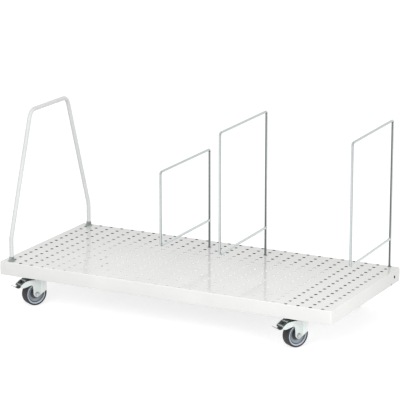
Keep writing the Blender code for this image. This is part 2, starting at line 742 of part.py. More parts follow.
def main():
    """Build the rack."""
    clear_scene()
    paint = finish("light_grey_enamel", (0.80, 0.81, 0.80), 0.18, 0)
    frame_paint = finish("frame_enamel", (0.74, 0.75, 0.75), 0.30, 0)
    zinc = finish("bright_zinc", (0.66, 0.69, 0.68), 0.32, 1)
    steel = finish("plain_steel", (0.50, 0.52, 0.52), 0.40, 1)
    plastic = finish("blue_grey_plastic", (0.30, 0.34, 0.40), 0.45, 0)
    rubber = finish("dark_rubber", (0.045, 0.043, 0.045), 0.70, 0)
    pedal_plastic = finish("dark_green_plastic", (0.03, 0.045, 0.04), 0.50, 0)
    build_deck(paint, steel)
    build_end_frame(frame_paint, zinc)
    build_dividers(zinc)
    build_castors(zinc, steel, plastic, rubber, pedal_plastic)


main()
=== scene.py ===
"""Looks of a mobile carton rack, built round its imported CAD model.

The rack is a perforated steel tray on four braked swivel castors, with a bent-tube end frame and wire
dividers. Each operator below makes one group of pieces in metres, in the frame of the CAD model, and
the last one sets the stage. A castor's own frame has its king pin on Z, the floor at Z = 0 and its
wheel towards +X.
"""

import json
import math

import bmesh
import bpy
from mathutils import Matrix, Vector


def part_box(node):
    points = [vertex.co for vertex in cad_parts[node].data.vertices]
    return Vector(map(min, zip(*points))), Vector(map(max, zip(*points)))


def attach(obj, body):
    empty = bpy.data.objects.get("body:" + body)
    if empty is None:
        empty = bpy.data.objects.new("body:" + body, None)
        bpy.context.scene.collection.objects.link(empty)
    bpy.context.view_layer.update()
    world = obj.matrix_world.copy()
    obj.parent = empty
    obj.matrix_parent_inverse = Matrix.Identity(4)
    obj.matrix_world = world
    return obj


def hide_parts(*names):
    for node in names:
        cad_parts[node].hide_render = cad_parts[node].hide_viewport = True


bl_info = {
    "name": "Mobile Carton Rack",
    "version": (1, 0, 0),
    "blender": (4, 5, 0),
    "location": "3D View > Sidebar > Rack",
    "description": "Builds the visible pieces of a mobile carton rack round its CAD model",
    "category": "Add Mesh",
}

MM = 0.001


def mm(*values):
    """Lengths and points given in millimetres, in metres."""
    return [tuple(mm(*value)) if isinstance(value, tuple) else value * MM for value in values]


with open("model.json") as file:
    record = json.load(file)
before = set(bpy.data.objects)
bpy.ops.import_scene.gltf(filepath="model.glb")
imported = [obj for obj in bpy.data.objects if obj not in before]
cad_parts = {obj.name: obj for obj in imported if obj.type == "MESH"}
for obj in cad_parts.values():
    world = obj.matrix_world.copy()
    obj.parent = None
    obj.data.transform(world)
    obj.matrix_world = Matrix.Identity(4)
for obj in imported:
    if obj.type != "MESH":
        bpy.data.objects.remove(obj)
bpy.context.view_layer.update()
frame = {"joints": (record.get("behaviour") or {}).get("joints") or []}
JOINTS = {joint["name"]: joint for joint in frame["joints"]}
CASTORS = ("front_left", "front_right", "rear_left", "rear_right")
GAP = 0.3 * MM
MERGE = 0.001 * MM
SMOOTH_ANGLE = math.radians(35)
X, Y, Z = (1, 0, 0), (0, 1, 0), (0, 0, 1)
LYING = Matrix.Rotation(math.pi / 2, 4, "X")

# Tray: size of the folded sheet, holes counted along X and Y, and the cuts in the right flange
TRAY_LOW, TRAY_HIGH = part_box("deck_tray")
DECK_LENGTH, DECK_WIDTH, FLANGE_HEIGHT = TRAY_HIGH - TRAY_LOW
DECK_TOP = TRAY_HIGH.z
HOLE_COUNT = (28, 17)
HOLE_PITCH = mm(42, 33)
STUD_HOLE = 10.6 * MM
FOLD_STEPS = 6
CORNER_STEPS = 4
FLANGE_HOLE, FLANGE_HOLE_INSET, FLANGE_HOLE_DROP = mm(5.3, 44.5, 22)
NOTCH_NEAR, NOTCH_FAR, NOTCH_HEIGHT = mm(69, 75, 7)
CUTTER_REACH = 4 * MM
CHANNEL_SHEET, CHANNEL_FOLD = mm(2.5, 3)

# End frame: its nuts, heights above the deck, lean and bends of its tube, and its threaded studs
NUT_FLATS, NUT_HEIGHT, NUT_BORE = mm(17, 14, 5.3)
FRAME_INSET, FRAME_KNEE, FRAME_TOP, FRAME_LEAN = mm(20.5, 78, 484, 136)
FRAME_BENDS = mm(50, 36, 36, 50)
STUD_RADIUS, STUD_PITCH, STUD_DEPTH, STUD_REACH = mm(5, 1.5, 20.3, 8)

# Dividers: node, body, hole of the leg by column and row, height and twist in degrees
DIVIDERS = (
    ("divider_short", "short_divider", (12, 14), 0.340, 1.1),
    ("divider_tall_middle", "middle_divider", (17, 14), 0.491, 1.7),
    ("divider_tall_right", "right_divider", (27, 16), 0.491, 2.5),
)
LOOP_DEPTH, LOOP_FLOOR, LOOP_BEND, PEG_LENGTH = mm(358, 95, 9, 18)
# Direction of the side of a divider's rear leg that gets painted shade
SHADED_SIDE = (-0.1, -0.995, 0)

# Castors: heights, distances from a wheel's middle plane outwards, and bolts from the king pin
AXLE_Z = JOINTS["front_left_wheel_spin"]["pos_m"][2]
TRAIL = 35 * MM
AXLE = Matrix.Translation((TRAIL, 0, AXLE_Z))
PLATE_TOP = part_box("front_left_castor_plate")[1].z
PLATE_BOTTOM = PLATE_TOP - 3 * MM
PLATE_HALF = mm(52.5, 42.5)
CROWN_BOTTOM, CROWN_TOP = mm(87.5, 91.5)
FORK_INSIDE, FORK_OUTSIDE = mm(17.5, 20)
BOLT_PLACES = mm((-40, -30), (40, -30), (40, 30), (-40, 30))
BOLT_HOLE = 4.1 * MM
HEAD_FLATS, HEAD_HEIGHT, HEAD_CHAMFER = mm(13, 5.3, 0.25)
AXLE_HOLE = 4.3 * MM

# Forks: points of the side view are measured from the axle, away from the king pin and up
FORK_TOP = CROWN_TOP - MM - AXLE_Z
FORK_FRONT, CHIN, BOSS, CHEEK_REACH = mm(-37, 10.5, 10.4, 26)
NECK, ARCH_CORNER, PIVOT = mm((13.4, 14), (16.5, 34.4), (2, 46))
HORN_UNDERSIDE = mm((30, 31.9), (39.5, 29.8), (49, 28.4), (55.5, 28.9))
HORN_TIP = mm((60, 31.8), (61, 35.3), (58, 38.6))
HORN_TOP = mm((51, 43.6), (45.6, 46.6), (39.5, 49.0), (32, 50.2))
HOOD_INSIDE, HOOD_OUTSIDE = mm(47.5, 49.5)
HOOD_SPAN = (41, 58)
PANEL_EDGE, PANEL_DROP = mm(-15, 4)
EMBOSS = 0.9 * MM

# Brake pedals: points of the side view as for the forks, and places on the pad from its heel
KNEE, SHELF, HEEL, TOE = mm((12, 49), (26, 49.5), (34.5, 52.3), (60, 33.3))
PAD_THICKNESS = 4.5 * MM
PAD_SLOPE = math.atan2(HEEL[1] - TOE[1], TOE[0] - HEEL[0])
PAD_LENGTH = math.dist(HEEL, TOE)
PAD_NORMAL = (math.sin(PAD_SLOPE), 0, math.cos(PAD_SLOPE))
PAD_FACE = HEEL[0] * PAD_NORMAL[0] + HEEL[1] * PAD_NORMAL[2]
PAD_ALONG = (math.cos(PAD_SLOPE), 0, -math.sin(PAD_SLOPE))
PAD_HEEL = HEEL[0] * PAD_ALONG[0] + HEEL[1] * PAD_ALONG[2]
STUD_ROWS = mm(6, 25.6)
STUD_COLUMNS = mm(-10.2, -3.4, 3.4, 10.2)
STUD_HALF = mm(1.8, 2.2)
LIP_SHEET, LIP_CURL, LIP_OVERLAP, LIP_TAIL, LIP_HALF = mm(1.5, 11, 22, 13, 12)
LIP_RISE = math.radians(36)

# Stage: lamps by name, place, size and power, and a camera by place, tilt, turn and lens
LIGHT_LEVEL = 0.64
FLOOR_SIZE, FLOOR_TONE, FLOOR_ROUGHNESS, FLOOR_GLOW = 30, 0.5, 0.9, 0.72
LAMPS = (("key_light", (-0.1, -2.6, 1.6), 1.6, 30), ("fill_light", (2.8, -1.3, 0.95), 1.1, 34))
LAMP_AIM = Vector((0, 0, 0.3))
CAMERA_PLACE = (3.248, -6.227, 2.195)
CAMERA_TILT, CAMERA_TURN = math.radians(75.38), math.radians(27.52)
CAMERA_LENS, CAMERA_SENSOR, CAMERA_END = 199.98, 36, 100


def length(name, description, default):
    """A size that a user may change."""
    return bpy.props.FloatProperty(
        name=name, description=description, default=default, min=0, precision=4, unit="LENGTH"
    )


def colour(name, description, default):
    """A colour that a user may change."""
    return bpy.props.FloatVectorProperty(
        name=name, description=description, default=default, size=3, min=0, max=1, subtype="COLOR"
    )


class RackSizes(bpy.types.PropertyGroup):
    """Sizes of the rack's visible details."""

    fold_radius: length("Fold radius", "Outer radius of the tray's folded edge", 0.003)
    sheet: length("Tray sheet", "Thickness of the tray's sheet", 0.002)
    hole: length("Hole", "Width of a square hole in the deck", 0.010)
    hole_corner: length("Hole corner", "Corner radius of a square hole", 0.0016)
    hole_rim: length("Hole rim", "Rounding of the deck into a hole", 0.0003)
    frame_tube: length("Frame tube", "Diameter of the end frame's tube", 0.014)
    wire: length("Wire", "Diameter of the dividers' wire", 0.008)
    weld: length("Weld", "Height of the weld that closes a divider's loop", 0.0014)
    pad_width: length("Pedal pad", "Width of a brake pedal's foot pad", 0.033)


class RackColours(bpy.types.PropertyGroup):
    """Colours of the rack's finishes."""

    enamel: colour("Tray enamel", "Glossy enamel of the tray", (0.86, 0.86, 0.845))
    # Painted shade: the tray's inside is black where it shows through the holes near the rear and the
    # ends
    tray_inside_shade: colour("Tray inside", "Painted shade inside the tray", (0.03, 0.03, 0.03))
    frame_enamel: colour("Frame enamel", "Satin enamel of the end frame", (0.74, 0.75, 0.75))
    zinc: colour("Zinc", "Zinc plating of channels, forks and plates", (0.755, 0.81, 0.79))
    nut_zinc: colour("Nut zinc", "Dull zinc of the end frame's nuts", (0.34, 0.385, 0.375))
    wire_zinc: colour("Wire zinc", "Bright zinc of the dividers", (0.55, 0.59, 0.59))
    # Painted shade along one side of the dividers' legs
    leg_painted_shade: colour("Leg zinc", "Darker side of the dividers' legs", (0.15, 0.16, 0.16))
    steel: colour("Steel", "Plated steel of bolts and axle nuts", (0.56, 0.58, 0.58))
    lip_steel: colour("Lip steel", "Dark steel of the pedal lips", (0.30, 0.31, 0.31))
    rim: colour("Wheel centre", "Moulded plastic of the wheel centres", (0.252, 0.28, 0.318))
    tyre: colour("Tyre", "Rubber of the tyres", (0.036, 0.035, 0.037))
    pedal: colour("Pedal", "Moulded plastic of the brake pedals", (0.012, 0.020, 0.017))
    # Painted highlight on the pedals' raised rims
    pedal_rim_highlight: colour("Pedal rim highlight", "Painted highlight on the brake pedals' raised rims", (0.12, 0.15, 0.14))
    pedal_studs: colour("Pedal studs", "Pale studs of the brake pedals", (0.62, 0.66, 0.64))


# Outlines


def arc(centre, radius, start, end, steps):
    """Points along an arc in degrees, both ends included."""
    angles = [math.radians(start + (end - start) * step / steps) for step in range(steps + 1)]
    return [(centre[0] + radius * math.cos(a), centre[1] + radius * math.sin(a)) for a in angles]


def circle(radius, sides, centre=(0, 0)):
    """Points round a circle."""
    return arc(centre, radius, 0, 360 * (1 - 1 / sides), sides - 1)


def fillet(before, corner, after, radius, steps):
    """Points of the round that takes the place of a path's corner."""
    corner = Vector(corner)
    inward = (Vector(before) - corner).normalized()
    outward = (Vector(after) - corner).normalized()
    half = inward.angle(outward) / 2
    turn = math.pi - 2 * half
    centre = corner + (inward + outward).normalized() * (radius / math.sin(half))
    first = corner + inward * (radius / math.tan(half)) - centre
    last = corner + outward * (radius / math.tan(half)) - centre
    angles = [turn * step / steps for step in range(steps + 1)]
    return [centre + (first * math.sin(turn - a) + last * math.sin(a)) / math.sin(turn) for a in angles]


def bent(corners, radii, steps=8):
    """An open path whose inner corners are rounded."""
    path = [Vector(corners[0])]
    for before, corner, after, radius in zip(corners, corners[1:], corners[2:], radii):
        path += fillet(before, corner, after, radius, steps)
    return path + [Vector(corners[-1])]


def flowing(points, steps=4):
    """A smooth path through points."""
    points = [Vector(point) for point in points]
    ends = [2 * points[0] - points[1], *points, 2 * points[-1] - points[-2]]
    path = []
    for a, b, c, d in zip(ends, ends[1:], ends[2:], ends[3:]):
        for step in range(steps):
            t = step / steps
            bend = (2 * a - 5 * b + 4 * c - d) * t * t + (3 * b - a - 3 * c + d) * t * t * t
            path.append(b + ((c - a) * t + bend) / 2)
    return path + [points[-1]]


def rounded(corners, radius, steps=4):
    """A closed outline whose corners are rounded."""
    outline = []
    for index, corner in enumerate(corners):
        following = corners[(index + 1) % len(corners)]
        outline += fillet(corners[index - 1], corner, following, radius, steps)
    return [(point[0], point[1]) for point in outline]


def rectangle(low, high):
    """Corners of a rectangle, anticlockwise."""
    return [low, (high[0], low[1]), high, (low[0], high[1])]


def centred(half_x, half_y):
    """Corners of a rectangle about the origin."""
    return rectangle((-half_x, -half_y), (half_x, half_y))


def raised(level, *points):
    """Points given in millimetres, in metres and with their second coordinate raised to a level."""
    return [(x, level + y) for x, y in mm(*points)]


def strip(path, thickness):
    """Outline of a bent sheet of even thickness along a flat path."""
    headings = [math.atan2(b[1] - a[1], b[0] - a[0]) for a, b in zip(path, path[1:])]
    upper = []
    lower = []
    for point, into, out in zip(path, [headings[0], *headings], [*headings, headings[-1]]):
        heading = (into + out) / 2
        reach = thickness / 2 / math.cos((out - into) / 2)
        upper.append((point[0] - reach * math.sin(heading), point[1] + reach * math.cos(heading)))
        lower.append((point[0] + reach * math.sin(heading), point[1] - reach * math.cos(heading)))
    return lower + upper[::-1]


def anticlockwise(outline):
    """The outline in the sense that keeps its inside on the left."""
    pairs = zip(outline, [*outline[1:], outline[0]])
    area = sum(a[0] * b[1] - b[0] * a[1] for a, b in pairs)
    return list(outline) if area > 0 else list(reversed(outline))


def inset(outline, distance):
    """The outline moved inwards by a distance, which sharp corners don't stretch past 2.5 times."""
    least = 0.4
    moved = []
    for index, point in enumerate(outline):
        point = Vector(point[:2])
        into = (point - Vector(outline[index - 1][:2])).normalized()
        out = (Vector(outline[(index + 1) % len(outline)][:2]) - point).normalized()
        left = Vector((-into.y - out.y, into.x + out.x)).normalized()
        moved.append(point + left * (distance / max(least, left.dot(Vector((-out.y, out.x))))))
    return moved


# Meshes


def ring(bm, points, closed=True):
    """Add points and the edges that join them in turn."""
    verts = [bm.verts.new(point) for point in points]
    edges = [bm.edges.new(pair) for pair in zip(verts, verts[1:])]
    if closed:
        edges.append(bm.edges.new((verts[-1], verts[0])))
    return verts, edges


def bridge(bm, lower, upper):
    """Join two rings of equally many points with a band of faces."""
    for index in range(len(lower)):
        following = (index + 1) % len(lower)
        bm.faces.new((lower[index], lower[following], upper[following], upper[index]))


def closed_mesh(bm, name):
    """Turn a finished bmesh into a clean mesh with its faces pointing out."""
    bmesh.ops.remove_doubles(bm, verts=bm.verts[:], dist=MERGE)
    bmesh.ops.dissolve_degenerate(bm, edges=bm.edges[:], dist=MERGE)
    bmesh.ops.recalc_face_normals(bm, faces=bm.faces[:])
    mesh = bpy.data.meshes.new(name)
    bm.to_mesh(mesh)
    bm.free()
    return mesh


def plate(name, outline, bottom, top, holes=(), edge=0.4 * MM):
    """A flat piece between two heights, with softened edges round its outline and its holes."""
    bm = bmesh.new()
    caps = ([], [])
    for loop, sense in [(outline, 1), *((hole, -1) for hole in holes)]:
        loop = anticlockwise(loop)
        narrow = inset(loop, sense * edge)
        layers = ((narrow, bottom), (loop, bottom + edge), (loop, top - edge), (narrow, top))
        rings = [ring(bm, [(point[0], point[1], z) for point in points]) for points, z in layers]
        for lower, upper in zip(rings, rings[1:]):
            bridge(bm, lower[0], upper[0])
        caps[0].extend(rings[0][1])
        caps[1].extend(rings[-1][1])
    for edges in caps:
        bmesh.ops.triangle_fill(bm, use_beauty=True, edges=edges)
    return closed_mesh(bm, name)


def side_plate(name, outline, near, far, holes=(), edge=0.4 * MM):
    """A flat piece drawn from the side, in X and Z, between two places along Y."""
    near, far = sorted((near, far))
    return moved(plate(name, outline, -far, -near, holes, edge), LYING)


def turned(name, profile, sides):
    """A turned piece about Z. Its profile is radius and height, open when it starts on the axis."""
    bm = bmesh.new()
    points = [(radius, 0, height) for radius, height in profile]
    verts, edges = ring(bm, points, closed=profile[0][0] > 0)
    bmesh.ops.spin(bm, geom=verts + edges, axis=Z, angle=2 * math.pi, steps=sides, use_merge=True)
    return closed_mesh(bm, name)


def turned_alike(name, half, sides):
    """A turned piece about Y that is alike on both sides, from half of its profile."""
    profile = half + [(radius, -height) for radius, height in reversed(half)]
    return moved(turned(name, profile, sides), LYING)


def swept(name, path, radius, sides=20):
    """A round bar along a path in the Y and Z plane."""
    across = Vector(X)
    bm = bmesh.new()
    rings = []
    for index, point in enumerate(path):
        before = path[max(index - 1, 0)]
        after = path[min(index + 1, len(path) - 1)]
        normal = across.cross((after - before).normalized())
        rings.append(ring(bm, [point + across * x + normal * y for x, y in circle(radius, sides)])[0])
    for lower, upper in zip(rings, rings[1:]):
        bridge(bm, lower, upper)
    bm.faces.new(rings[0])
    bm.faces.new(rings[-1])
    return closed_mesh(bm, name)


def carved(base, tools, operation):
    """A mesh joined with, cut by or kept inside other meshes."""
    guide = bpy.data.objects.new(base.name, base)
    helpers = [guide]
    for tool in tools:
        helper = bpy.data.objects.new(tool.name, tool)
        helpers.append(helper)
        modifier = guide.modifiers.new(tool.name, "BOOLEAN")
        modifier.operation = operation
        modifier.solver = "MANIFOLD"
        modifier.object = helper
    for helper in helpers:
        bpy.context.scene.collection.objects.link(helper)
    bm = bmesh.new()
    bm.from_object(guide, bpy.context.evaluated_depsgraph_get())
    for helper in helpers:
        bpy.data.objects.remove(helper)
    return closed_mesh(bm, base.name)


def welded(base, *others):
    """Several meshes as one body."""
    return carved(base, others, "UNION")


def cut(base, *cutters):
    """A mesh with other meshes cut out of it."""
    return carved(base, cutters, "DIFFERENCE")


def moved(mesh, *steps):
    """The mesh after some transforms, the first one applied last."""
    matrix = Matrix()
    for step in steps:
        matrix = matrix @ step
    mesh.transform(matrix)
    return mesh


def shift(x, y, z):
    """A move."""
    return Matrix.Translation((x, y, z))


def hexagon(name, flats, bottom, top):
    """A hexagon nut or head whose corners are turned down at both ends."""
    corner = flats / math.sqrt(3)
    face = 0.97 * flats / 2
    drop = (corner - flats / 2) * math.tan(math.radians(30)) + HEAD_CHAMFER
    profile = [(0, bottom), (face, bottom), (corner, bottom + drop)]
    profile += [(corner, top - drop), (face, top), (0, top)]
    body = plate(name, circle(corner, 6), bottom - MM, top + MM)
    return carved(body, [turned("chamfer", profile, 36)], "INTERSECT")


def threaded(name, radius, bottom, top, pitch=1.25 * MM):
    """A threaded bar about Z, its thread drawn as grooves."""
    root = radius - 0.45 * pitch
    profile = [(0, bottom), (root, bottom)]
    for turn in range(int((top - bottom) / pitch)):
        z = bottom + pitch * turn
        profile += [(radius, z + 0.4 * pitch), (radius, z + 0.6 * pitch), (root, z + pitch)]
    profile += [(root, top), (0, top)]
    return turned(name, profile, 24)


def add_piece(name, mesh, coat, body, node, at=Matrix()):
    """Show a mesh as one piece that moves with a body and stands for a CAD node."""
    if not mesh.materials:
        mesh.materials.append(finish(coat))
        mesh.shade_smooth()
        mesh.set_sharp_from_angle(angle=SMOOTH_ANGLE)
    piece = bpy.data.objects.new(name, mesh)
    piece.matrix_world = at
    bpy.context.scene.collection.objects.link(piece)
    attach(piece, body)
    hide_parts(node)


def king_place(castor):
    """Frame on a castor's king pin, square to the rack."""
    king = JOINTS[f"{castor}_swivel"]["pos_m"]
    return shift(king[0], king[1], 0)


def castor_place(castor):
    """Frame of a castor in the rack."""
    axle = JOINTS[f"{castor}_wheel_spin"]["axis"]
    return king_place(castor) @ Matrix.Rotation(math.atan2(-axle[0], axle[1]), 4, "Z")


def add_to_castors(body, place, parts):
    """Show parts on every castor, each a piece, node, mesh, finish, slot and offset; the slot is not
    used.

    The castor's name goes before those of the piece and the node, and in the braces of the body's.
    """
    for castor in CASTORS:
        for piece, node, mesh, coat, slot, offset in parts:
            at = place(castor) @ offset
            name = f"{castor}_{piece}"
            add_piece(name, mesh, coat, body.format(castor), f"{castor}_{node}", at)


# Finishes


def node_output(tree, kind, output, inputs, **settings):
    """One output of a new node, whose inputs are given as values or as other nodes' outputs."""
    node = tree.nodes.new(kind)
    for key, value in settings.items():
        setattr(node, key, value)
    for key, value in inputs.items():
        if isinstance(value, bpy.types.NodeSocket):
            tree.links.new(value, node.inputs[key])
        else:
            node.inputs[key].default_value = value
    return node.outputs[output]


class Finish:
    """A material in the making: its node tree, its shader and the object's own coordinates."""

    def __init__(self, name, metallic=0.0):
        self.material = bpy.data.materials.new(name)
        self.material.use_nodes = True
        self.tree = self.material.node_tree
        self.shader = self.tree.nodes["Principled BSDF"]
        self.shader.inputs["Metallic"].default_value = metallic
        self.place = node_output(self.tree, "ShaderNodeTexCoord", "Object", {})

    def noise(self, scale, detail, stretch=(1, 1, 1)):
        """Cloudy noise, by its scale per metre."""
        inputs = {"Vector": self.place, "Scale": stretch}
        place = node_output(self.tree, "ShaderNodeMapping", "Vector", inputs)
        inputs = {"Vector": place, "Scale": scale, "Detail": detail}
        return node_output(self.tree, "ShaderNodeTexNoise", "Fac", inputs)

    def cells(self, scale):
        """Random grey cells, by their scale per metre."""
        inputs = {"Vector": self.place, "Scale": scale}
        cells = node_output(self.tree, "ShaderNodeTexVoronoi", "Color", inputs)
        return node_output(self.tree, "ShaderNodeSeparateColor", "Red", {"Color": cells})

    def edges(self, start, end):
        """How exposed to wear a place is: 1 on sharp outer edges and 0 on flats."""
        edges = node_output(self.tree, "ShaderNodeNewGeometry", "Pointiness", {})
        return self.spread(edges, 0, 1, start, end)

    def vector(self, operation, output, *inputs):
        """Vectors worked into another vector or a value."""
        inputs = dict(enumerate(inputs))
        return node_output(self.tree, "ShaderNodeVectorMath", output, inputs, operation=operation)

    def along(self, direction, start, end):
        """0 to 1 between two distances along a direction."""
        distance = self.vector("DOT_PRODUCT", "Value", self.place, direction)
        return self.spread(distance, 0, 1, start, end)

    def around(self, start, end):
        """0 to 1 between two distances in millimetres from the Y axis."""
        flat = self.vector("MULTIPLY", "Vector", self.place, (1, 0, 1))
        return self.spread(self.vector("LENGTH", "Value", flat), 0, 1, *mm(start, end))

    def spread(self, value, low, high, start=0.3, end=0.7):
        """A value stretched from one range to another."""
        inputs = {"Value": value, "From Min": start, "From Max": end, "To Min": low, "To Max": high}
        return node_output(self.tree, "ShaderNodeMapRange", "Result", inputs)

    def band(self, direction, low, high, soft=0.4 * MM):
        """1 between two distances along a direction and 0 beyond them."""
        rise = self.along(direction, low - soft, low + soft)
        return self.product(rise, self.along(direction, high + soft, high - soft))

    def combined(self, operation, values):
        """Several values worked into one, two at a time."""
        result = values[0]
        for value in values[1:]:
            inputs = {0: result, 1: value}
            result = node_output(self.tree, "ShaderNodeMath", "Value", inputs, operation=operation)
        return result

    def product(self, *values):
        """Several values multiplied."""
        return self.combined("MULTIPLY", values)

    def largest(self, *values):
        """The largest of several values."""
        return self.combined("MAXIMUM", values)

    def layered(self, base, *layers):
        """A colour or a blend with colours laid over it, each by its own mask."""
        if not isinstance(base, bpy.types.NodeSocket):
            base = (*base, 1)
        for mask, tone in layers:
            inputs = {"Factor": mask, 6: base, 7: (*tone, 1)}
            base = node_output(self.tree, "ShaderNodeMix", 2, inputs, data_type="RGBA")
        return base

    def dress(self, base, roughness, height, depth):
        """Give the shader its colour, roughness and relief, and hand over the material."""
        inputs = {"Height": height, "Distance": depth}
        normal = node_output(self.tree, "ShaderNodeBump", "Normal", inputs)
        for name, value in (("Base Color", base), ("Roughness", roughness), ("Normal", normal)):
            self.tree.links.new(value, self.shader.inputs[name])
        return self.material


def shade(tone, share):
    """A darker or lighter version of a colour."""
    return tuple(min(1.0, channel * share) for channel in tone)


def sprayed(coat, tone):
    """Cloudy tone of sprayed enamel, with spots along its edges where the coat has rubbed through."""
    clouds = coat.spread(coat.noise(7, 4), 0, 1)
    spots = coat.spread(coat.noise(90, 4), 0, 0.6, 0.45, 0.6)
    rubbed = coat.product(coat.edges(0.56, 0.66), spots)
    return coat.layered(shade(tone, 0.965), (clouds, shade(tone, 1.025)), (rubbed, shade(tone, 0.72)))


def enamelled(coat, base, roughness, peel):
    """Give enamel its colour, its roughness and a faint orange peel."""
    return coat.dress(base, roughness, coat.noise(700, 1), peel)


def uneven(coat, rough):
    """Roughness of sprayed enamel, which varies a little."""
    return coat.spread(coat.noise(24, 3), rough * 0.8, rough * 1.3)


def enamel(name, tone, rough):
    """Plain sprayed enamel."""
    coat = Finish(name)
    return enamelled(coat, sprayed(coat, tone), uneven(coat, rough), 0.04 * MM)


def tray_enamel_and_painted_shade(name, tone, inside_shade_tone, rough):
    """Enamel of the tray, with painted shade: black inside near the rear and the ends and in the flange's
    cuts, and a greyer coat towards the rear.
    """
    coat = Finish(name)
    end, rear = DECK_LENGTH / 2, DECK_WIDTH / 2
    wall, soft = mm(1.7, 0.1)
    inside = coat.product(
        coat.band(X, wall - end, end - wall, soft),
        coat.band(Y, wall - rear, rear - wall, soft),
        coat.along(Z, DECK_TOP - 0.2 * MM, DECK_TOP - 0.4 * MM),
    )
    # Painted shade in the walls of the flange's hole and notch
    cuts = coat.product(
        coat.band(X, end - 3 * MM, end - 0.15 * MM, soft / 2),
        coat.band(Y, rear - 85 * MM, rear - 30 * MM),
        coat.along(Z, DECK_TOP - 5 * MM, DECK_TOP - 6 * MM),
    )
    # Painted shade inside the tray, only near the rear and the ends
    shade_zone = coat.largest(
        coat.along(Y, *mm(50, 150)), coat.along(X, *mm(-440, -520)), coat.along(X, *mm(380, 460))
    )
    painted_shade = coat.largest(coat.product(inside, shade_zone), cuts)
    # Painted shade: the coat turns greyer towards the rear
    far = coat.along(Y, -100 * MM, rear)
    base = coat.layered(sprayed(coat, tone), (far, shade(tone, 0.9)), (painted_shade, inside_shade_tone))
    roughness = coat.largest(uneven(coat, rough), coat.spread(painted_shade, 0, 1, 0, 1))
    return enamelled(coat, base, roughness, 0.012 * MM)


def plated(metal, tone):
    """Tone of zinc or steel plating with a fine spangle, stains and bright edges."""
    spangle = metal.spread(metal.cells(420), 0, 1, 0, 1)
    stains = metal.spread(metal.noise(45, 3), 0, 0.4, 0.45, 0.8)
    return metal.layered(
        shade(tone, 1.03),
        (spangle, shade(tone, 0.95)),
        (stains, shade(tone, 0.86)),
        (metal.edges(0.53, 0.62), shade(tone, 1.15)),
    )


def streaked(metal, base, rough, stretch=(1, 1, 1)):
    """Give plating its colour and a faintly streaked gloss."""
    streaks = metal.noise(900, 2, stretch)
    roughness = metal.spread(streaks, rough * 0.75, rough * 1.35)
    return metal.dress(base, roughness, streaks, 0.008 * MM)


def plating(name, tone, rough, metallic=1.0):
    """Plain plating. A passivated coat is less metallic than a bright one."""
    metal = Finish(name, metallic)
    return streaked(metal, plated(metal, tone), rough)


def fork_plating_and_painted_light(name, tone, rough):
    """Passivated zinc of the forks, with painted light: paler on the front panels, most at their edges,
    and on the horns.
    """
    metal = Finish(name, 0.5)
    base = metal.layered(
        plated(metal, tone),
        # Painted light on the front panels, most at their front edges, and on the horns
        (metal.along(X, *mm(21, 19)), shade(tone, 1.14)),
        (metal.along(X, *mm(9, 0)), shade(tone, 1.34)),
        (metal.along(X, *mm(54, 72)), shade(tone, 1.04)),
    )
    return streaked(metal, base, rough)


def wire(name, tone, leg_shade_tone, rough):
    """Bright drawn wire, with a painted highlight that makes the low bar brightest and painted shade
    along one side of its legs.
    """
    metal = Finish(name, 1.0)
    rear_leg_shade = metal.product(metal.along(Y, *mm(-7, -5)), metal.along(SHADED_SIDE, *mm(2, 3.4)))
    near = metal.along(Y, 7 * MM - LOOP_DEPTH, 5 * MM - LOOP_DEPTH)
    base = metal.layered(
        plated(metal, tone),
        # Painted highlight on the low bar
        (metal.band(Z, LOOP_FLOOR - 6 * MM, LOOP_FLOOR + 6 * MM), shade(tone, 1.2)),
        # Painted shade along one side of the rear leg
        (rear_leg_shade, leg_shade_tone),
        # Painted shade along the right side of the front leg
        (metal.product(near, metal.along(X, *mm(1, 4))), shade(tone, 0.7)),
    )
    return streaked(metal, base, rough, (1, 1, 0.05))


def mottled(plastic, tone, dark, light):
    """Cloudy tone of moulded plastic."""
    clouds = plastic.spread(plastic.noise(60, 4), 0, 1)
    return plastic.layered(shade(tone, dark), (clouds, shade(tone, light)))


def patchy_highlight(plastic, mask, least):
    """A mask broken up by noise, for a patchy painted highlight."""
    return plastic.product(mask, plastic.spread(plastic.noise(220, 3), least, 1.0))


def grained(plastic, base, rough):
    """Give moulded plastic its colour and a fine grain."""
    roughness = plastic.spread(plastic.noise(140, 3), rough * 0.85, rough * 1.2)
    return plastic.dress(base, roughness, plastic.noise(2600, 2), 0.03 * MM)


def pedal_moulding_and_painted_light(name, tone, rim_highlight, stud_tone, rough):
    """Moulded plastic with a fine grain, with a patchy painted highlight where the pad stands proud, and
    pale studs.
    """
    plastic = Finish(name)
    reach, side = mm(2, 12.7)
    proud = plastic.along(PAD_NORMAL, PAD_FACE + 1.2 * MM, PAD_FACE + 1.8 * MM)
    rows = [plastic.band(PAD_ALONG, PAD_HEEL + x - reach, PAD_HEEL + x + reach) for x in STUD_ROWS]
    base = plastic.layered(
        mottled(plastic, tone, 0.9, 1.08),
        # Patchy painted highlight where the pad stands proud
        (patchy_highlight(plastic, proud, 0.4), rim_highlight),
        (plastic.product(proud, plastic.largest(*rows), plastic.band(Y, -side, side)), stud_tone),
    )
    return grained(plastic, base, rough)


def wheel_moulding_and_painted_light(name, tone, rough):
    """Moulded plastic with a painted highlight on the wheel's lip and painted shade in the groove inside
    it and round the hub.
    """
    plastic = Finish(name)
    base = plastic.layered(
        mottled(plastic, tone, 1.1, 1.26),
        # Painted shade round the hub
        (plastic.around(20.5, 15.5), shade(tone, 0.34)),
        # Painted shade in the groove inside the lip
        (plastic.product(plastic.around(25.5, 27), plastic.around(30, 29)), shade(tone, 0.42)),
        # Painted highlight on the lip
        (patchy_highlight(plastic, plastic.around(29, 30), 0.7), shade(tone, 2.35)),
    )
    return grained(plastic, base, rough)


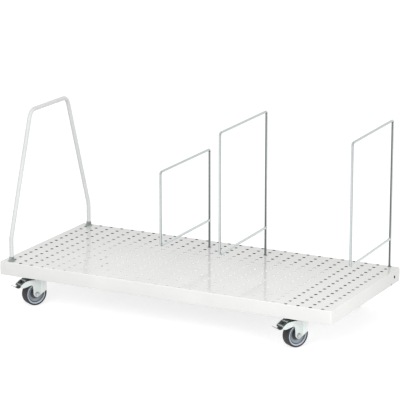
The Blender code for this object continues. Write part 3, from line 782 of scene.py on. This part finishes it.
def rubber(name, tone):
    """Tyre rubber with dusty scuffs and a fine pitted surface."""
    skin = Finish(name)
    dust = skin.spread(skin.noise(110, 6), 0, 0.5, 0.45, 0.75)
    pits = skin.spread(skin.noise(700, 2), 0, 0.35, 0.5, 0.7)
    base = skin.layered(tone, (dust, shade(tone, 1.9)), (pits, shade(tone, 0.6)))
    return skin.dress(base, skin.spread(skin.noise(90, 3), 0.55, 0.75), skin.noise(1800, 3), 0.08 * MM)


def finish(name):
    """One of the rack's finishes, made when it is first asked for."""
    if name in bpy.data.materials:
        return bpy.data.materials[name]
    tones = bpy.context.scene.rack_colours
    pedal_tones = (tones.pedal, tones.pedal_rim_highlight, tones.pedal_studs)
    makers = {
        "tray_enamel_and_painted_shade": lambda: tray_enamel_and_painted_shade(name, tones.enamel, tones.tray_inside_shade, rough=0.1),
        "frame_paint": lambda: enamel(name, tones.frame_enamel, rough=0.26),
        "zinc_plating": lambda: plating(name, tones.zinc, rough=0.45, metallic=0.35),
        "fork_zinc_and_painted_light": lambda: fork_plating_and_painted_light(name, tones.zinc, rough=0.4),
        # The wire's finish carries a painted highlight on the low bar and painted shade on the legs
        "wire_zinc": lambda: wire(name, tones.wire_zinc, tones.leg_painted_shade, rough=0.24),
        "bolt_steel": lambda: plating(name, tones.steel, rough=0.32),
        "nut_zinc": lambda: plating(name, tones.nut_zinc, rough=0.36),
        "lip_steel": lambda: plating(name, tones.lip_steel, rough=0.3),
        "wheel_moulding_and_painted_light": lambda: wheel_moulding_and_painted_light(name, tones.rim, rough=0.38),
        "tyre_rubber": lambda: rubber(name, tones.tyre),
        "pedal_moulding_and_painted_light": lambda: pedal_moulding_and_painted_light(name, *pedal_tones, rough=0.3),
    }
    return makers[name]()


# Tray


def hole_places(axis):
    """Middles of the holes along one side of the tray."""
    return [HOLE_PITCH[axis] * (index - (HOLE_COUNT[axis] - 1) / 2) for index in range(HOLE_COUNT[axis])]


FRAME_FOOT = (hole_places(0)[0], DECK_WIDTH / 2 - FRAME_INSET)


def rounded_square(middle, size, radius):
    """The four corner arcs of a square hole, three points each, anticlockwise."""
    half = size / 2 - radius
    corners = ((-half, -half, 180), (half, -half, 270), (half, half, 0), (-half, half, 90))
    return [arc((middle[0] + x, middle[1] + y), radius, start, start + 90, 2) for x, y, start in corners]


def flat_half(sizes):
    """Half the length and half the width of the deck between its folds."""
    return DECK_LENGTH / 2 - sizes.fold_radius, DECK_WIDTH / 2 - sizes.fold_radius


def tray_grid(sizes):
    """Lines between the deck's cells along X and Y, and each cell's corners and hole."""
    places = (hole_places(0), hole_places(1))
    lines = []
    for limit, middles in zip(flat_half(sizes), places):
        lines.append([-limit, *((a + b) / 2 for a, b in zip(middles, middles[1:])), limit])
    foot_line = FRAME_FOOT[1] - 0.7 * STUD_HOLE
    lines[1][1] = -foot_line
    lines[1][-2] = foot_line
    cells = []
    for column, x in enumerate(places[0]):
        for row, y in enumerate(places[1]):
            low = (lines[0][column], lines[1][row])
            high = (lines[0][column + 1], lines[1][row + 1])
            hole = ((x, y), sizes.hole, sizes.hole_corner)
            if column == 0 and row in (0, len(places[1]) - 1):
                hole = ((x, math.copysign(FRAME_FOOT[1], y)), STUD_HOLE, STUD_HOLE / 2)
            cells.append((rectangle(low, high), *hole))
    return lines, cells


def deck_face(bm, cells, z, rim):
    """One face of the deck, as flat cells round its holes. Hands over the rings of the holes."""
    rings = []
    for outline, middle, size, radius in cells:
        corners = [bm.verts.new((*corner, z)) for corner in outline]
        arcs = rounded_square(middle, size + 2 * rim, radius + rim)
        hole = [[bm.verts.new((*point, z)) for point in points] for points in arcs]
        for side in range(4):
            after = (side + 1) % 4
            inner = [hole[after][1], hole[after][0], hole[side][2], hole[side][1]]
            bm.faces.new([corners[side], corners[after], *inner])
        rings.append([vert for points in hole for vert in points])
    return rings


def tray_ring(sizes, lines, gap, drop):
    """Points round the tray at a distance in from its outer face and below its top."""
    reach = max(sizes.fold_radius - gap, 0)
    end, rear = flat_half(sizes)
    x_lines = lines[0][1:-1]
    y_lines = lines[1][1:-1]
    sides = (
        [(x, -rear - reach) for x in x_lines],
        [(end + reach, y) for y in y_lines],
        [(x, rear + reach) for x in reversed(x_lines)],
        [(-end - reach, y) for y in reversed(y_lines)],
    )
    outline = []
    for start, corner, side in zip((180, 270, 0, 90), centred(end, rear), sides):
        outline += arc(corner, reach, start, start + 90, CORNER_STEPS) + side
    return [(x, y, DECK_TOP - drop) for x, y in outline]


def tray_section(sizes):
    """Section of the folded edge, as distance in from the outer face and distance below the top."""
    fold = sizes.fold_radius
    rim = sizes.sheet / 4
    section = [(fold - x, fold - y) for x, y in arc((0, 0), fold, 90, 0, FOLD_STEPS)]
    section += [(0, FLANGE_HEIGHT - rim), (rim, FLANGE_HEIGHT)]
    section += [(sizes.sheet - rim, FLANGE_HEIGHT), (sizes.sheet, FLANGE_HEIGHT - rim)]
    return section + [(fold - x, fold - y) for x, y in arc((0, 0), fold - sizes.sheet, 0, 90, FOLD_STEPS)]


def tray_mesh(sizes):
    """Folded tray with rounded edges and corners, and a grid of holes with softened rims."""
    lines, cells = tray_grid(sizes)
    bm = bmesh.new()
    outlines = [tray_ring(sizes, lines, *step) for step in tray_section(sizes)]
    rings = [[bm.verts.new(point) for point in outline] for outline in outlines]
    for outer, inner in zip(rings, rings[1:]):
        bridge(bm, outer, inner)
    top = deck_face(bm, cells, DECK_TOP, sizes.hole_rim)
    bottom = deck_face(bm, cells, DECK_TOP - sizes.sheet, 0)
    for (_, *hole), upper, lower in zip(cells, top, bottom):
        points = [point for points in rounded_square(*hole) for point in points]
        neck = [bm.verts.new((*point, DECK_TOP - sizes.hole_rim)) for point in points]
        bridge(bm, upper, neck)
        bridge(bm, neck, lower)
    return cut(closed_mesh(bm, "tray_sheet"), *flange_cutters())


def flange_cutters():
    """Round hole and small notch in the right flange, near the rear corner."""
    rear = DECK_WIDTH / 2
    foot = DECK_TOP - FLANGE_HEIGHT
    hole = circle(FLANGE_HOLE, 32, (rear - FLANGE_HOLE_INSET, DECK_TOP - FLANGE_HOLE_DROP))
    notch = rectangle((rear - NOTCH_FAR, foot - CUTTER_REACH), (rear - NOTCH_NEAR, foot + NOTCH_HEIGHT))
    place = shift(DECK_LENGTH / 2, 0, 0) @ Matrix.Rotation(math.pi / 2, 4, "Z")
    outlines = (hole, rounded(notch, MM))
    cutters = [side_plate("flange_cut", outline, -CUTTER_REACH, CUTTER_REACH) for outline in outlines]
    return [moved(cutter, place) for cutter in cutters]


class RACK_OT_tray(bpy.types.Operator):
    """Make the folded tray with its grid of holes"""

    bl_idname = "rack.tray"
    bl_label = "Tray"

    def execute(self, context):
        mesh = tray_mesh(context.scene.rack_sizes)
        add_piece("tray_sheet", mesh, "tray_enamel_and_painted_shade", "rack", "deck_tray")
        return {"FINISHED"}


# Channels under the tray


def channel_mesh(low, high):
    """Folded channel across the tray, open at the top, drilled for the castors' plate bolts."""
    half = (high.x - low.x - CHANNEL_SHEET) / 2
    floor = low.z + CHANNEL_SHEET / 2
    corners = [(-half, high.z), (-half, floor), (half, floor), (half, high.z)]
    path = bent(corners, [CHANNEL_FOLD, CHANNEL_FOLD], 5)
    body = side_plate("castor_channel", strip(path, CHANNEL_SHEET), low.y, high.y)
    king = abs(JOINTS["front_left_swivel"]["pos_m"][1])
    holes = [circle(BOLT_HOLE, 20, (x, y + side)) for side in (-king, king) for x, y in BOLT_PLACES]
    drills = [plate("drill", hole, low.z - CUTTER_REACH, low.z + CUTTER_REACH) for hole in holes]
    return moved(cut(body, *drills), shift((low.x + high.x) / 2, 0, 0))


class RACK_OT_channels(bpy.types.Operator):
    """Make the two channels that carry the castors"""

    bl_idname = "rack.channels"
    bl_label = "Castor channels"

    def execute(self, context):
        for hand in ("left", "right"):
            node = f"castor_channel_{hand}"
            mesh = channel_mesh(*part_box(node))
            add_piece(f"folded_channel_{hand}", mesh, "zinc_plating", "rack", node)
        return {"FINISHED"}


# End frame


def flange_nut_mesh():
    """Hexagon nut with a wide, sloping flange, seated on Z = 0."""
    profile = [(NUT_BORE, 0), *mm((12, 0), (12.5, 0.5), (12.5, 1.3), (9.4, 4)), (NUT_BORE, 4 * MM)]
    flange = turned("flange_nut", profile, 40)
    body = hexagon("nut_body", NUT_FLATS, 2 * MM, NUT_HEIGHT)
    drill = plate("bore", circle(NUT_BORE, 24), -MM, NUT_HEIGHT + MM)
    return cut(welded(flange, body), drill)


def end_frame_mesh(sizes):
    """Bent tube with a threaded stud at each foot, in the Y and Z plane with the deck top at Z = 0."""
    foot = FRAME_FOOT[1]
    foot_z = NUT_HEIGHT + 2 * GAP
    half = [(foot, foot_z), (foot, FRAME_KNEE), (foot - FRAME_LEAN, FRAME_TOP)]
    corners = [Vector((0, -y, z)) for y, z in half] + [Vector((0, y, z)) for y, z in reversed(half)]
    hoop = swept("end_frame_tube", bent(corners, FRAME_BENDS, 12), sizes.frame_tube / 2, 28)
    stud = threaded("stud", STUD_RADIUS, -STUD_DEPTH, foot_z + STUD_REACH, STUD_PITCH)
    return welded(hoop, moved(stud.copy(), shift(0, -foot, 0)), moved(stud, shift(0, foot, 0)))


class RACK_OT_end_frame(bpy.types.Operator):
    """Make the bent-tube end frame and its four nuts"""

    bl_idname = "rack.end_frame"
    bl_label = "End frame"

    def execute(self, context):
        sizes = context.scene.rack_sizes
        tube = end_frame_mesh(sizes)
        nut = flange_nut_mesh()
        at = shift(FRAME_FOOT[0], 0, DECK_TOP)
        add_piece("end_frame_tube", tube, "frame_paint", "rack", "end_frame", at)
        flip = Matrix.Rotation(math.pi, 4, "X")
        for side, y in (("front", -FRAME_FOOT[1]), ("rear", FRAME_FOOT[1])):
            over = shift(FRAME_FOOT[0], y, DECK_TOP + GAP)
            under = shift(FRAME_FOOT[0], y, DECK_TOP - sizes.sheet - GAP) @ flip
            for name, node, at in (("foot", "frame", over), ("lock", "frame_lock", under)):
                node = f"{node}_nut_{side}"
                add_piece(f"{name}_nut_{side}", nut, "nut_zinc", "rack", node, at)
        return {"FINISHED"}


# Dividers


def divider_mesh(sizes, height):
    """Flag of bent wire with its leg on the Z axis, a collar on the deck at Z = 0 and a square peg."""
    radius = sizes.wire / 2
    sink = GAP + MM
    corners = [(0, LOOP_FLOOR), (-LOOP_DEPTH, LOOP_FLOOR), (-LOOP_DEPTH, height), (0, height), (0, sink)]
    path = bent([Vector((0, y, z)) for y, z in corners], [LOOP_BEND] * 3, 10)
    reach = radius + sizes.weld
    bead = [(0, -0.6 * radius), (0.5 * radius, -0.6 * radius), (reach, -radius), (reach, -1.3 * radius)]
    bead += [(radius + sizes.weld * 0.35, -1.6 * radius)]
    bead += [(radius * 0.98, -1.9 * radius), (0, -1.9 * radius)]
    lying = Matrix.Rotation(-math.pi / 2, 4, "X")
    weld = moved(turned("weld", bead, 20), shift(0, 0, LOOP_FLOOR), lying)
    rim = raised(GAP, (0, 0), (5.7, 0), (6.2, 0.5)) + mm((6.2, 2), (5, 2.8), (0, 2.8))
    collar = turned("collar", rim, 28)
    half = sizes.hole / 2 - 0.4 * MM
    peg = plate("peg", rounded(centred(half, half), 1.2 * MM), -PEG_LENGTH, sink, edge=0.8 * MM)
    return welded(swept("wire", path, radius), weld, collar, peg)


class RACK_OT_dividers(bpy.types.Operator):
    """Make the wire dividers"""

    bl_idname = "rack.dividers"
    bl_label = "Dividers"

    def execute(self, context):
        for node, body, (column, row), height, twist in DIVIDERS:
            spot = shift(hole_places(0)[column], hole_places(1)[row], DECK_TOP)
            at = spot @ Matrix.Rotation(math.radians(twist), 4, "Z")
            mesh = divider_mesh(context.scene.rack_sizes, height)
            add_piece(f"{node}_wire", mesh, "wire_zinc", body, node, at)
        return {"FINISHED"}


# Castor plates


def castor_plate_mesh():
    """Pressed top plate with the swivel race under it and the riveted king pin."""
    holes = [circle(BOLT_HOLE, 20, spot) for spot in BOLT_PLACES]
    outline = rounded(centred(*PLATE_HALF), 8 * MM, 6)
    sheet = plate("castor_plate", outline, PLATE_BOTTOM, PLATE_TOP, holes)
    cup = raised(PLATE_BOTTOM, (0, 1), (27, 1), (27, -0.2), (25, -1.2), (24.6, -3.2), (22, -3.6))
    race = raised(CROWN_TOP + GAP, (22, 2.4), (24.6, 2), (25, 1), (24, 0), (6, 0))
    pin = raised(CROWN_BOTTOM - GAP, (6, 0), (9, 0), (10, -1), (8, -2.6), (4, -3), (0, -3))
    return welded(sheet, turned("race", cup + race + pin, 40))


def plate_bolt_mesh():
    """Hexagon bolt with a washer, its head under Z = 0."""
    profile = mm((0, -1.4), (7.6, -1.4), (8, -1), (8, 0), (0, 0))
    head = hexagon("bolt_head", HEAD_FLATS, -HEAD_HEIGHT, -MM)
    shank = threaded("shank", 3.8 * MM, -2 * MM, 12.1 * MM)
    return welded(head, turned("washer", profile, 28), shank)


class RACK_OT_castor_plates(bpy.types.Operator):
    """Make the castors' top plates and their bolts"""

    bl_idname = "rack.castor_plates"
    bl_label = "Castor plates"

    def execute(self, context):
        bolt = (plate_bolt_mesh(), "bolt_steel", "steel")
        parts = [("top_plate", "castor_plate", castor_plate_mesh(), "zinc_plating", "zinc", Matrix())]
        for number, (x, y) in enumerate(BOLT_PLACES, 1):
            spot = shift(x, y, PLATE_BOTTOM - GAP)
            parts.append((f"hex_bolt_{number}", f"plate_bolt_{number}", *bolt, spot))
        add_to_castors("rack", king_place, parts)
        return {"FINISHED"}


# Forks


def cheek_outline():
    """Side outline of a fork leg: crown, chin, axle boss, arch and the horn that flanks the pedal."""
    reach = (CHEEK_REACH, FORK_TOP)
    front = (FORK_FRONT, FORK_TOP)
    chin = (FORK_FRONT, CHIN)
    boss = arc((0, 0), BOSS, 228, 330, 10) + mm((11.9, -2), (13, 2))
    horn = HORN_UNDERSIDE + HORN_TIP + HORN_TOP
    outline = fillet(reach, front, chin, 3 * MM, 4)
    outline += fillet(front, chin, boss[0], 2.5 * MM, 4)
    outline += boss
    outline += bent([boss[-1], NECK, ARCH_CORNER, horn[0]], mm(20, 6), 6)[1:-1]
    return outline + flowing([*horn, reach])


def fork_mesh():
    """Pressed fork: round crown under the race, two embossed cheeks and a hood between their horns."""
    holes = (circle(AXLE_HOLE, 24), circle(2.8 * MM, 20, PIVOT))
    cap = circle(4.2 * MM, 28, PIVOT)
    corners = rectangle((FORK_FRONT + MM, CHIN + MM), (PANEL_EDGE, FORK_TOP - PANEL_DROP))
    corners[1] = (PANEL_EDGE, -1.5 * MM)
    panel = rounded(corners, 2 * MM)
    hood = arc((0, 0), HOOD_OUTSIDE, *HOOD_SPAN, 8) + arc((0, 0), HOOD_INSIDE, *reversed(HOOD_SPAN), 8)
    parts = [side_plate("hood", hood, MM - FORK_OUTSIDE, FORK_OUTSIDE - MM)]
    for side in (-1, 1):
        inside, outside, proud = side * FORK_INSIDE, side * FORK_OUTSIDE, side * (FORK_OUTSIDE + EMBOSS)
        parts.append(side_plate("cheek", cheek_outline(), inside, outside, holes, 0.5 * MM))
        parts.append(side_plate("panel", panel, outside - side * MM, proud, edge=0.8 * MM))
        parts.append(side_plate("cap", cap, outside - side * 0.2 * MM, proud))
    crown = raised(CROWN_BOTTOM, (6.3, 0), (26.4, 0), (27, 0.6))
    crown += raised(CROWN_TOP, (27, -1), (26, 0), (6.3, 0))
    return welded(turned("fork_pressing", crown, 48), *(moved(part, AXLE) for part in parts))


def axle_bolt_mesh():
    """Flanged axle bolt along Y, its head beyond the fork, measured from the axle's middle."""
    seat = FORK_OUTSIDE + GAP
    collar = mm((0, -1.6), (8, -1.6), (8.6, -0.8), (8.6, 0), (0, 0))
    head = hexagon("axle_head", HEAD_FLATS, -HEAD_HEIGHT, -MM)
    head = welded(head, turned("collar", collar, 32))
    shank = plate("shank", circle(4 * MM, 24), -2 * MM, 2 * seat)
    tail = threaded("tail", 4 * MM, 2 * seat - MM, 2 * seat + 7.7 * MM)
    return moved(welded(head, shank, tail), shift(0, seat, 0), LYING)


def axle_nut_mesh():
    """Lock nut with a rounded collar on the tail of the axle bolt."""
    collar = [(AXLE_HOLE, 4 * MM), *mm((5.6, 4), (5.6, 5.6), (4.9, 6.5)), (AXLE_HOLE, 6.5 * MM)]
    body = welded(hexagon("axle_nut", HEAD_FLATS, 0, 4.8 * MM), turned("collar", collar, 28))
    drill = plate("bore", circle(AXLE_HOLE, 24), -2 * MM, 8 * MM)
    return moved(cut(body, drill), shift(0, -FORK_OUTSIDE - GAP, 0), LYING)


class RACK_OT_forks(bpy.types.Operator):
    """Make the castors' forks with their axle bolts and nuts"""

    bl_idname = "rack.forks"
    bl_label = "Forks"

    def execute(self, context):
        parts = (
            ("fork_pressing", "fork", fork_mesh(), "fork_zinc_and_painted_light", "zinc", Matrix()),
            ("axle_screw", "axle_bolt", axle_bolt_mesh(), "bolt_steel", "steel", AXLE),
            ("lock_nut", "axle_nut", axle_nut_mesh(), "bolt_steel", "steel", AXLE),
        )
        add_to_castors("{}_castor", castor_place, parts)
        return {"FINISHED"}


# Wheels


def wheel_centre_mesh():
    """Moulded wheel centre with a raised lip, a dished web and a hub, its axle along Y."""
    half = mm((4.3, 16), (8.2, 16), (9, 15.2), (10.2, 6), (11.2, 4.6), (18.5, 4.8), (24.5, 9.2))
    half += mm((27.4, 10.4), (28.4, 9.4), (29.2, 9.8), (29.8, 13), (30.7, 13.9), (33.3, 13.9))
    half += mm((34.2, 13.2))
    return turned_alike("wheel_centre", half, 64)


def tread_mesh():
    """Solid tyre with rounded shoulders and a flat tread, its axle along Y."""
    half = mm((34.5, 14.4), (35, 15), (36.6, 15))
    half += arc((AXLE_Z - 3.4 * MM, 11.8 * MM), 3.2 * MM, 80, 8, 6)
    half += [(AXLE_Z, height) for height in mm(8, 0.5, 0.25)]
    return turned_alike("tread", half, 72)


class RACK_OT_wheels(bpy.types.Operator):
    """Make the castors' wheel centres and tyres"""

    bl_idname = "rack.wheels"
    bl_label = "Wheels"

    def execute(self, context):
        parts = (
            ("wheel_centre", "wheel_rim", wheel_centre_mesh(), "wheel_moulding_and_painted_light", "rim_plastic", AXLE),
            ("tread", "tyre", tread_mesh(), "tyre_rubber", "tyre", AXLE),
        )
        add_to_castors("{}_wheel", castor_place, parts)
        return {"FINISHED"}


# Brake pedals


def pad_mesh(sizes):
    """Foot pad with a raised rim, a framed pocket and grip studs, from its heel at X = 0 to its toe."""
    half = sizes.pad_width / 2
    top = PAD_THICKNESS / 2
    inner_half, inner_end = half - 3.5 * MM, PAD_LENGTH - 3.5 * MM
    outline = rounded(rectangle((-2 * MM, -half), (PAD_LENGTH, half)), 3 * MM)
    base = plate("pad", outline, -top, top - MM, edge=0.6 * MM)
    outer = rounded(rectangle((0, MM - half), (PAD_LENGTH - MM, half - MM)), 3 * MM)
    inner = rounded(rectangle((2.5 * MM, -inner_half), (inner_end, inner_half)), 2 * MM)
    rim = plate("rim", outer, -0.5 * MM, top, (inner,), 0.5 * MM)
    pocket_outer = rounded(rectangle(*mm((9.5, -8), (22, 8))), 2 * MM)
    pocket_inner = rounded(rectangle(*mm((11.3, -6.2), (20.2, 6.2))), MM)
    pocket_rim = plate("pocket_rim", pocket_outer, -0.5 * MM, top, (pocket_inner,))
    pocket = plate("pocket", pocket_inner, -MM, top + MM, edge=0.2 * MM)
    stud = rounded(centred(*STUD_HALF), 0.8 * MM)
    spots = [shift(x, y, 0) for x in STUD_ROWS for y in STUD_COLUMNS]
    studs = [moved(plate("stud", stud, -0.5 * MM, top - 0.2 * MM), spot) for spot in spots]
    return cut(welded(base, rim, pocket_rim, *studs), pocket)


def pedal_mesh(sizes):
    """Brake lever with its foot pad, its cam barrel and the pin that turns in the fork."""
    lever_half = FORK_INSIDE - MM
    pin_half = FORK_OUTSIDE - 2 * GAP
    heel_half = sizes.pad_width / 2 - 0.2 * MM
    bend = (HEEL[0] + 3 * MM * PAD_ALONG[0], HEEL[1] + 3 * MM * PAD_ALONG[2])
    path = bent([PIVOT, KNEE, SHELF, HEEL, bend], mm(8, 12, 1.5), 4)
    lever = side_plate("lever", strip(path, 2.5 * MM), -lever_half, lever_half)
    neck = ((SHELF[0] + HEEL[0]) / 2, (SHELF[1] + HEEL[1]) / 2)
    shoulder = strip(bent([neck, HEEL, bend], [2.6 * MM], 5), 2.4 * MM)
    heel = side_plate("heel", shoulder, -heel_half, heel_half, edge=0.5 * MM)
    slope = Matrix.Rotation(PAD_SLOPE, 4, "Y")
    pad = moved(pad_mesh(sizes), shift(HEEL[0], 0, HEEL[1]), slope)
    barrel = side_plate("barrel", circle(4.5 * MM, 24, PIVOT), MM - lever_half, lever_half - MM)
    pin = side_plate("pin", circle(2.5 * MM, 24, PIVOT), -pin_half, pin_half)
    rib = strip(bent([KNEE, SHELF, HEEL], [12 * MM], 4), 4.2 * MM)
    ribs = [side_plate("rib", rib, *limits) for limits in mm((-10.1, -7.9), (7.9, 10.1))]
    return welded(pad, heel, lever, barrel, pin, *ribs)


def lip_mesh():
    """Steel lip under the pad, which runs on past the toe and curls up."""
    drop = (PAD_THICKNESS + LIP_SHEET) / 2 + GAP
    along = Vector(PAD_ALONG).xz
    across = Vector(PAD_NORMAL).xz
    toe = Vector(TOE) - across * drop
    turn = (-90 - math.degrees(PAD_SLOPE), -90 + math.degrees(LIP_RISE))
    path = [toe - along * LIP_OVERLAP]
    path += [Vector(point) for point in arc(toe + across * LIP_CURL, LIP_CURL, *turn, 10)]
    path.append(path[-1] + Vector((math.cos(LIP_RISE), math.sin(LIP_RISE))) * LIP_TAIL)
    return side_plate("pedal_lip", strip(path, LIP_SHEET), -LIP_HALF, LIP_HALF)


class RACK_OT_pedals(bpy.types.Operator):
    """Make the brake pedals and their steel lips"""

    bl_idname = "rack.pedals"
    bl_label = "Brake pedals"

    def execute(self, context):
        pedal = pedal_mesh(context.scene.rack_sizes)
        parts = (
            ("pedal_pad", "brake_pedal", pedal, "pedal_moulding_and_painted_light", "pedal_plastic", AXLE),
            ("curled_lip", "pedal_lip", lip_mesh(), "lip_steel", "steel", AXLE),
        )
        add_to_castors("{}_pedal", castor_place, parts)
        return {"FINISHED"}


# Stage


def ray_level(tree, light, shown):
    """One level for rays that light the rack and another for rays that show the white background."""
    rays = tree.nodes.new("ShaderNodeLightPath").outputs
    share = rays["Is Camera Ray"]
    for name in ("Is Glossy Ray", "Is Transmission Ray"):
        inputs = {0: share, 1: rays[name]}
        share = node_output(tree, "ShaderNodeMath", "Value", inputs, operation="MAXIMUM")
    inputs = {"Value": share, "To Min": light, "To Max": shown}
    return node_output(tree, "ShaderNodeMapRange", "Result", inputs)


def studio_world():
    """White surroundings, with a lower level for the light that they give."""
    world = bpy.data.worlds.new("studio")
    bpy.context.scene.world = world
    world.use_nodes = True
    tree = world.node_tree
    background = tree.nodes["Background"]
    background.inputs["Color"].default_value = (1, 1, 1, 1)
    tree.links.new(ray_level(tree, LIGHT_LEVEL, 1.0), background.inputs["Strength"])


def studio_floor():
    """Wide white floor that glows a little for the camera and keeps the rack's shadow."""
    bm = bmesh.new()
    bmesh.ops.create_grid(bm, x_segments=1, y_segments=1, size=FLOOR_SIZE)
    mesh = bpy.data.meshes.new("studio_floor")
    bm.to_mesh(mesh)
    bm.free()
    material = bpy.data.materials.new("studio_floor")
    material.use_nodes = True
    tree = material.node_tree
    shader = tree.nodes["Principled BSDF"]
    shader.inputs["Base Color"].default_value = (FLOOR_TONE, FLOOR_TONE, FLOOR_TONE, 1)
    shader.inputs["Roughness"].default_value = FLOOR_ROUGHNESS
    shader.inputs["Emission Color"].default_value = (1, 1, 1, 1)
    tree.links.new(ray_level(tree, 0.0, FLOOR_GLOW), shader.inputs["Emission Strength"])
    mesh.materials.append(material)
    floor = bpy.data.objects.new("studio_floor", mesh)
    bpy.context.scene.collection.objects.link(floor)


def soft_light(name, spot, size, power):
    """A large square lamp that faces the rack and isn't seen itself, nor in the rack's gloss."""
    lamp = bpy.data.lights.new(name, "AREA")
    lamp.size = size
    lamp.energy = power
    light = bpy.data.objects.new(name, lamp)
    light.location = spot
    light.rotation_mode = "QUATERNION"
    light.rotation_quaternion = (LAMP_AIM - Vector(spot)).to_track_quat("-Z", "Y")
    light.visible_camera = False
    light.visible_glossy = False
    bpy.context.scene.collection.objects.link(light)


class RACK_OT_stage(bpy.types.Operator):
    """Set the floor, the light and the camera"""

    bl_idname = "rack.stage"
    bl_label = "Stage"

    def execute(self, context):
        studio_world()
        studio_floor()
        for lamp in LAMPS:
            soft_light(*lamp)
        camera = bpy.data.cameras.new("camera")
        camera.sensor_width = CAMERA_SENSOR
        camera.lens = CAMERA_LENS
        camera.clip_end = CAMERA_END
        view = bpy.data.objects.new("camera", camera)
        view.location = CAMERA_PLACE
        view.rotation_euler = (CAMERA_TILT, 0, CAMERA_TURN)
        context.scene.collection.objects.link(view)
        context.scene.camera = view
        context.scene.view_settings.view_transform = "Standard"
        return {"FINISHED"}


OPERATORS = (
    RACK_OT_tray,
    RACK_OT_channels,
    RACK_OT_end_frame,
    RACK_OT_dividers,
    RACK_OT_castor_plates,
    RACK_OT_forks,
    RACK_OT_wheels,
    RACK_OT_pedals,
    RACK_OT_stage,
)


class RACK_PT_panel(bpy.types.Panel):
    """Sizes, colours and operators of the rack"""

    bl_label = "Mobile Carton Rack"
    bl_idname = "RACK_PT_panel"
    bl_space_type = "VIEW_3D"
    bl_region_type = "UI"
    bl_category = "Rack"

    def draw(self, context):
        layout = self.layout
        for group in (context.scene.rack_sizes, context.scene.rack_colours):
            box = layout.box()
            for name in group.__annotations__:
                box.prop(group, name)
        for operator in OPERATORS:
            layout.operator(operator.bl_idname)


CLASSES = (RackSizes, RackColours, *OPERATORS, RACK_PT_panel)


def register():
    """Add the properties, operators and panel."""
    for cls in CLASSES:
        bpy.utils.register_class(cls)
    bpy.types.Scene.rack_sizes = bpy.props.PointerProperty(type=RackSizes)
    bpy.types.Scene.rack_colours = bpy.props.PointerProperty(type=RackColours)


def unregister():
    """Remove the properties, operators and panel."""
    del bpy.types.Scene.rack_colours
    del bpy.types.Scene.rack_sizes
    for cls in reversed(CLASSES):
        bpy.utils.unregister_class(cls)


def main():
    """Build the rack and its stage."""
    register()
    bpy.ops.rack.tray()
    bpy.ops.rack.channels()
    bpy.ops.rack.end_frame()
    bpy.ops.rack.dividers()
    bpy.ops.rack.castor_plates()
    bpy.ops.rack.forks()
    bpy.ops.rack.wheels()
    bpy.ops.rack.pedals()
    bpy.ops.rack.stage()


if __name__ == "__main__":
    main()
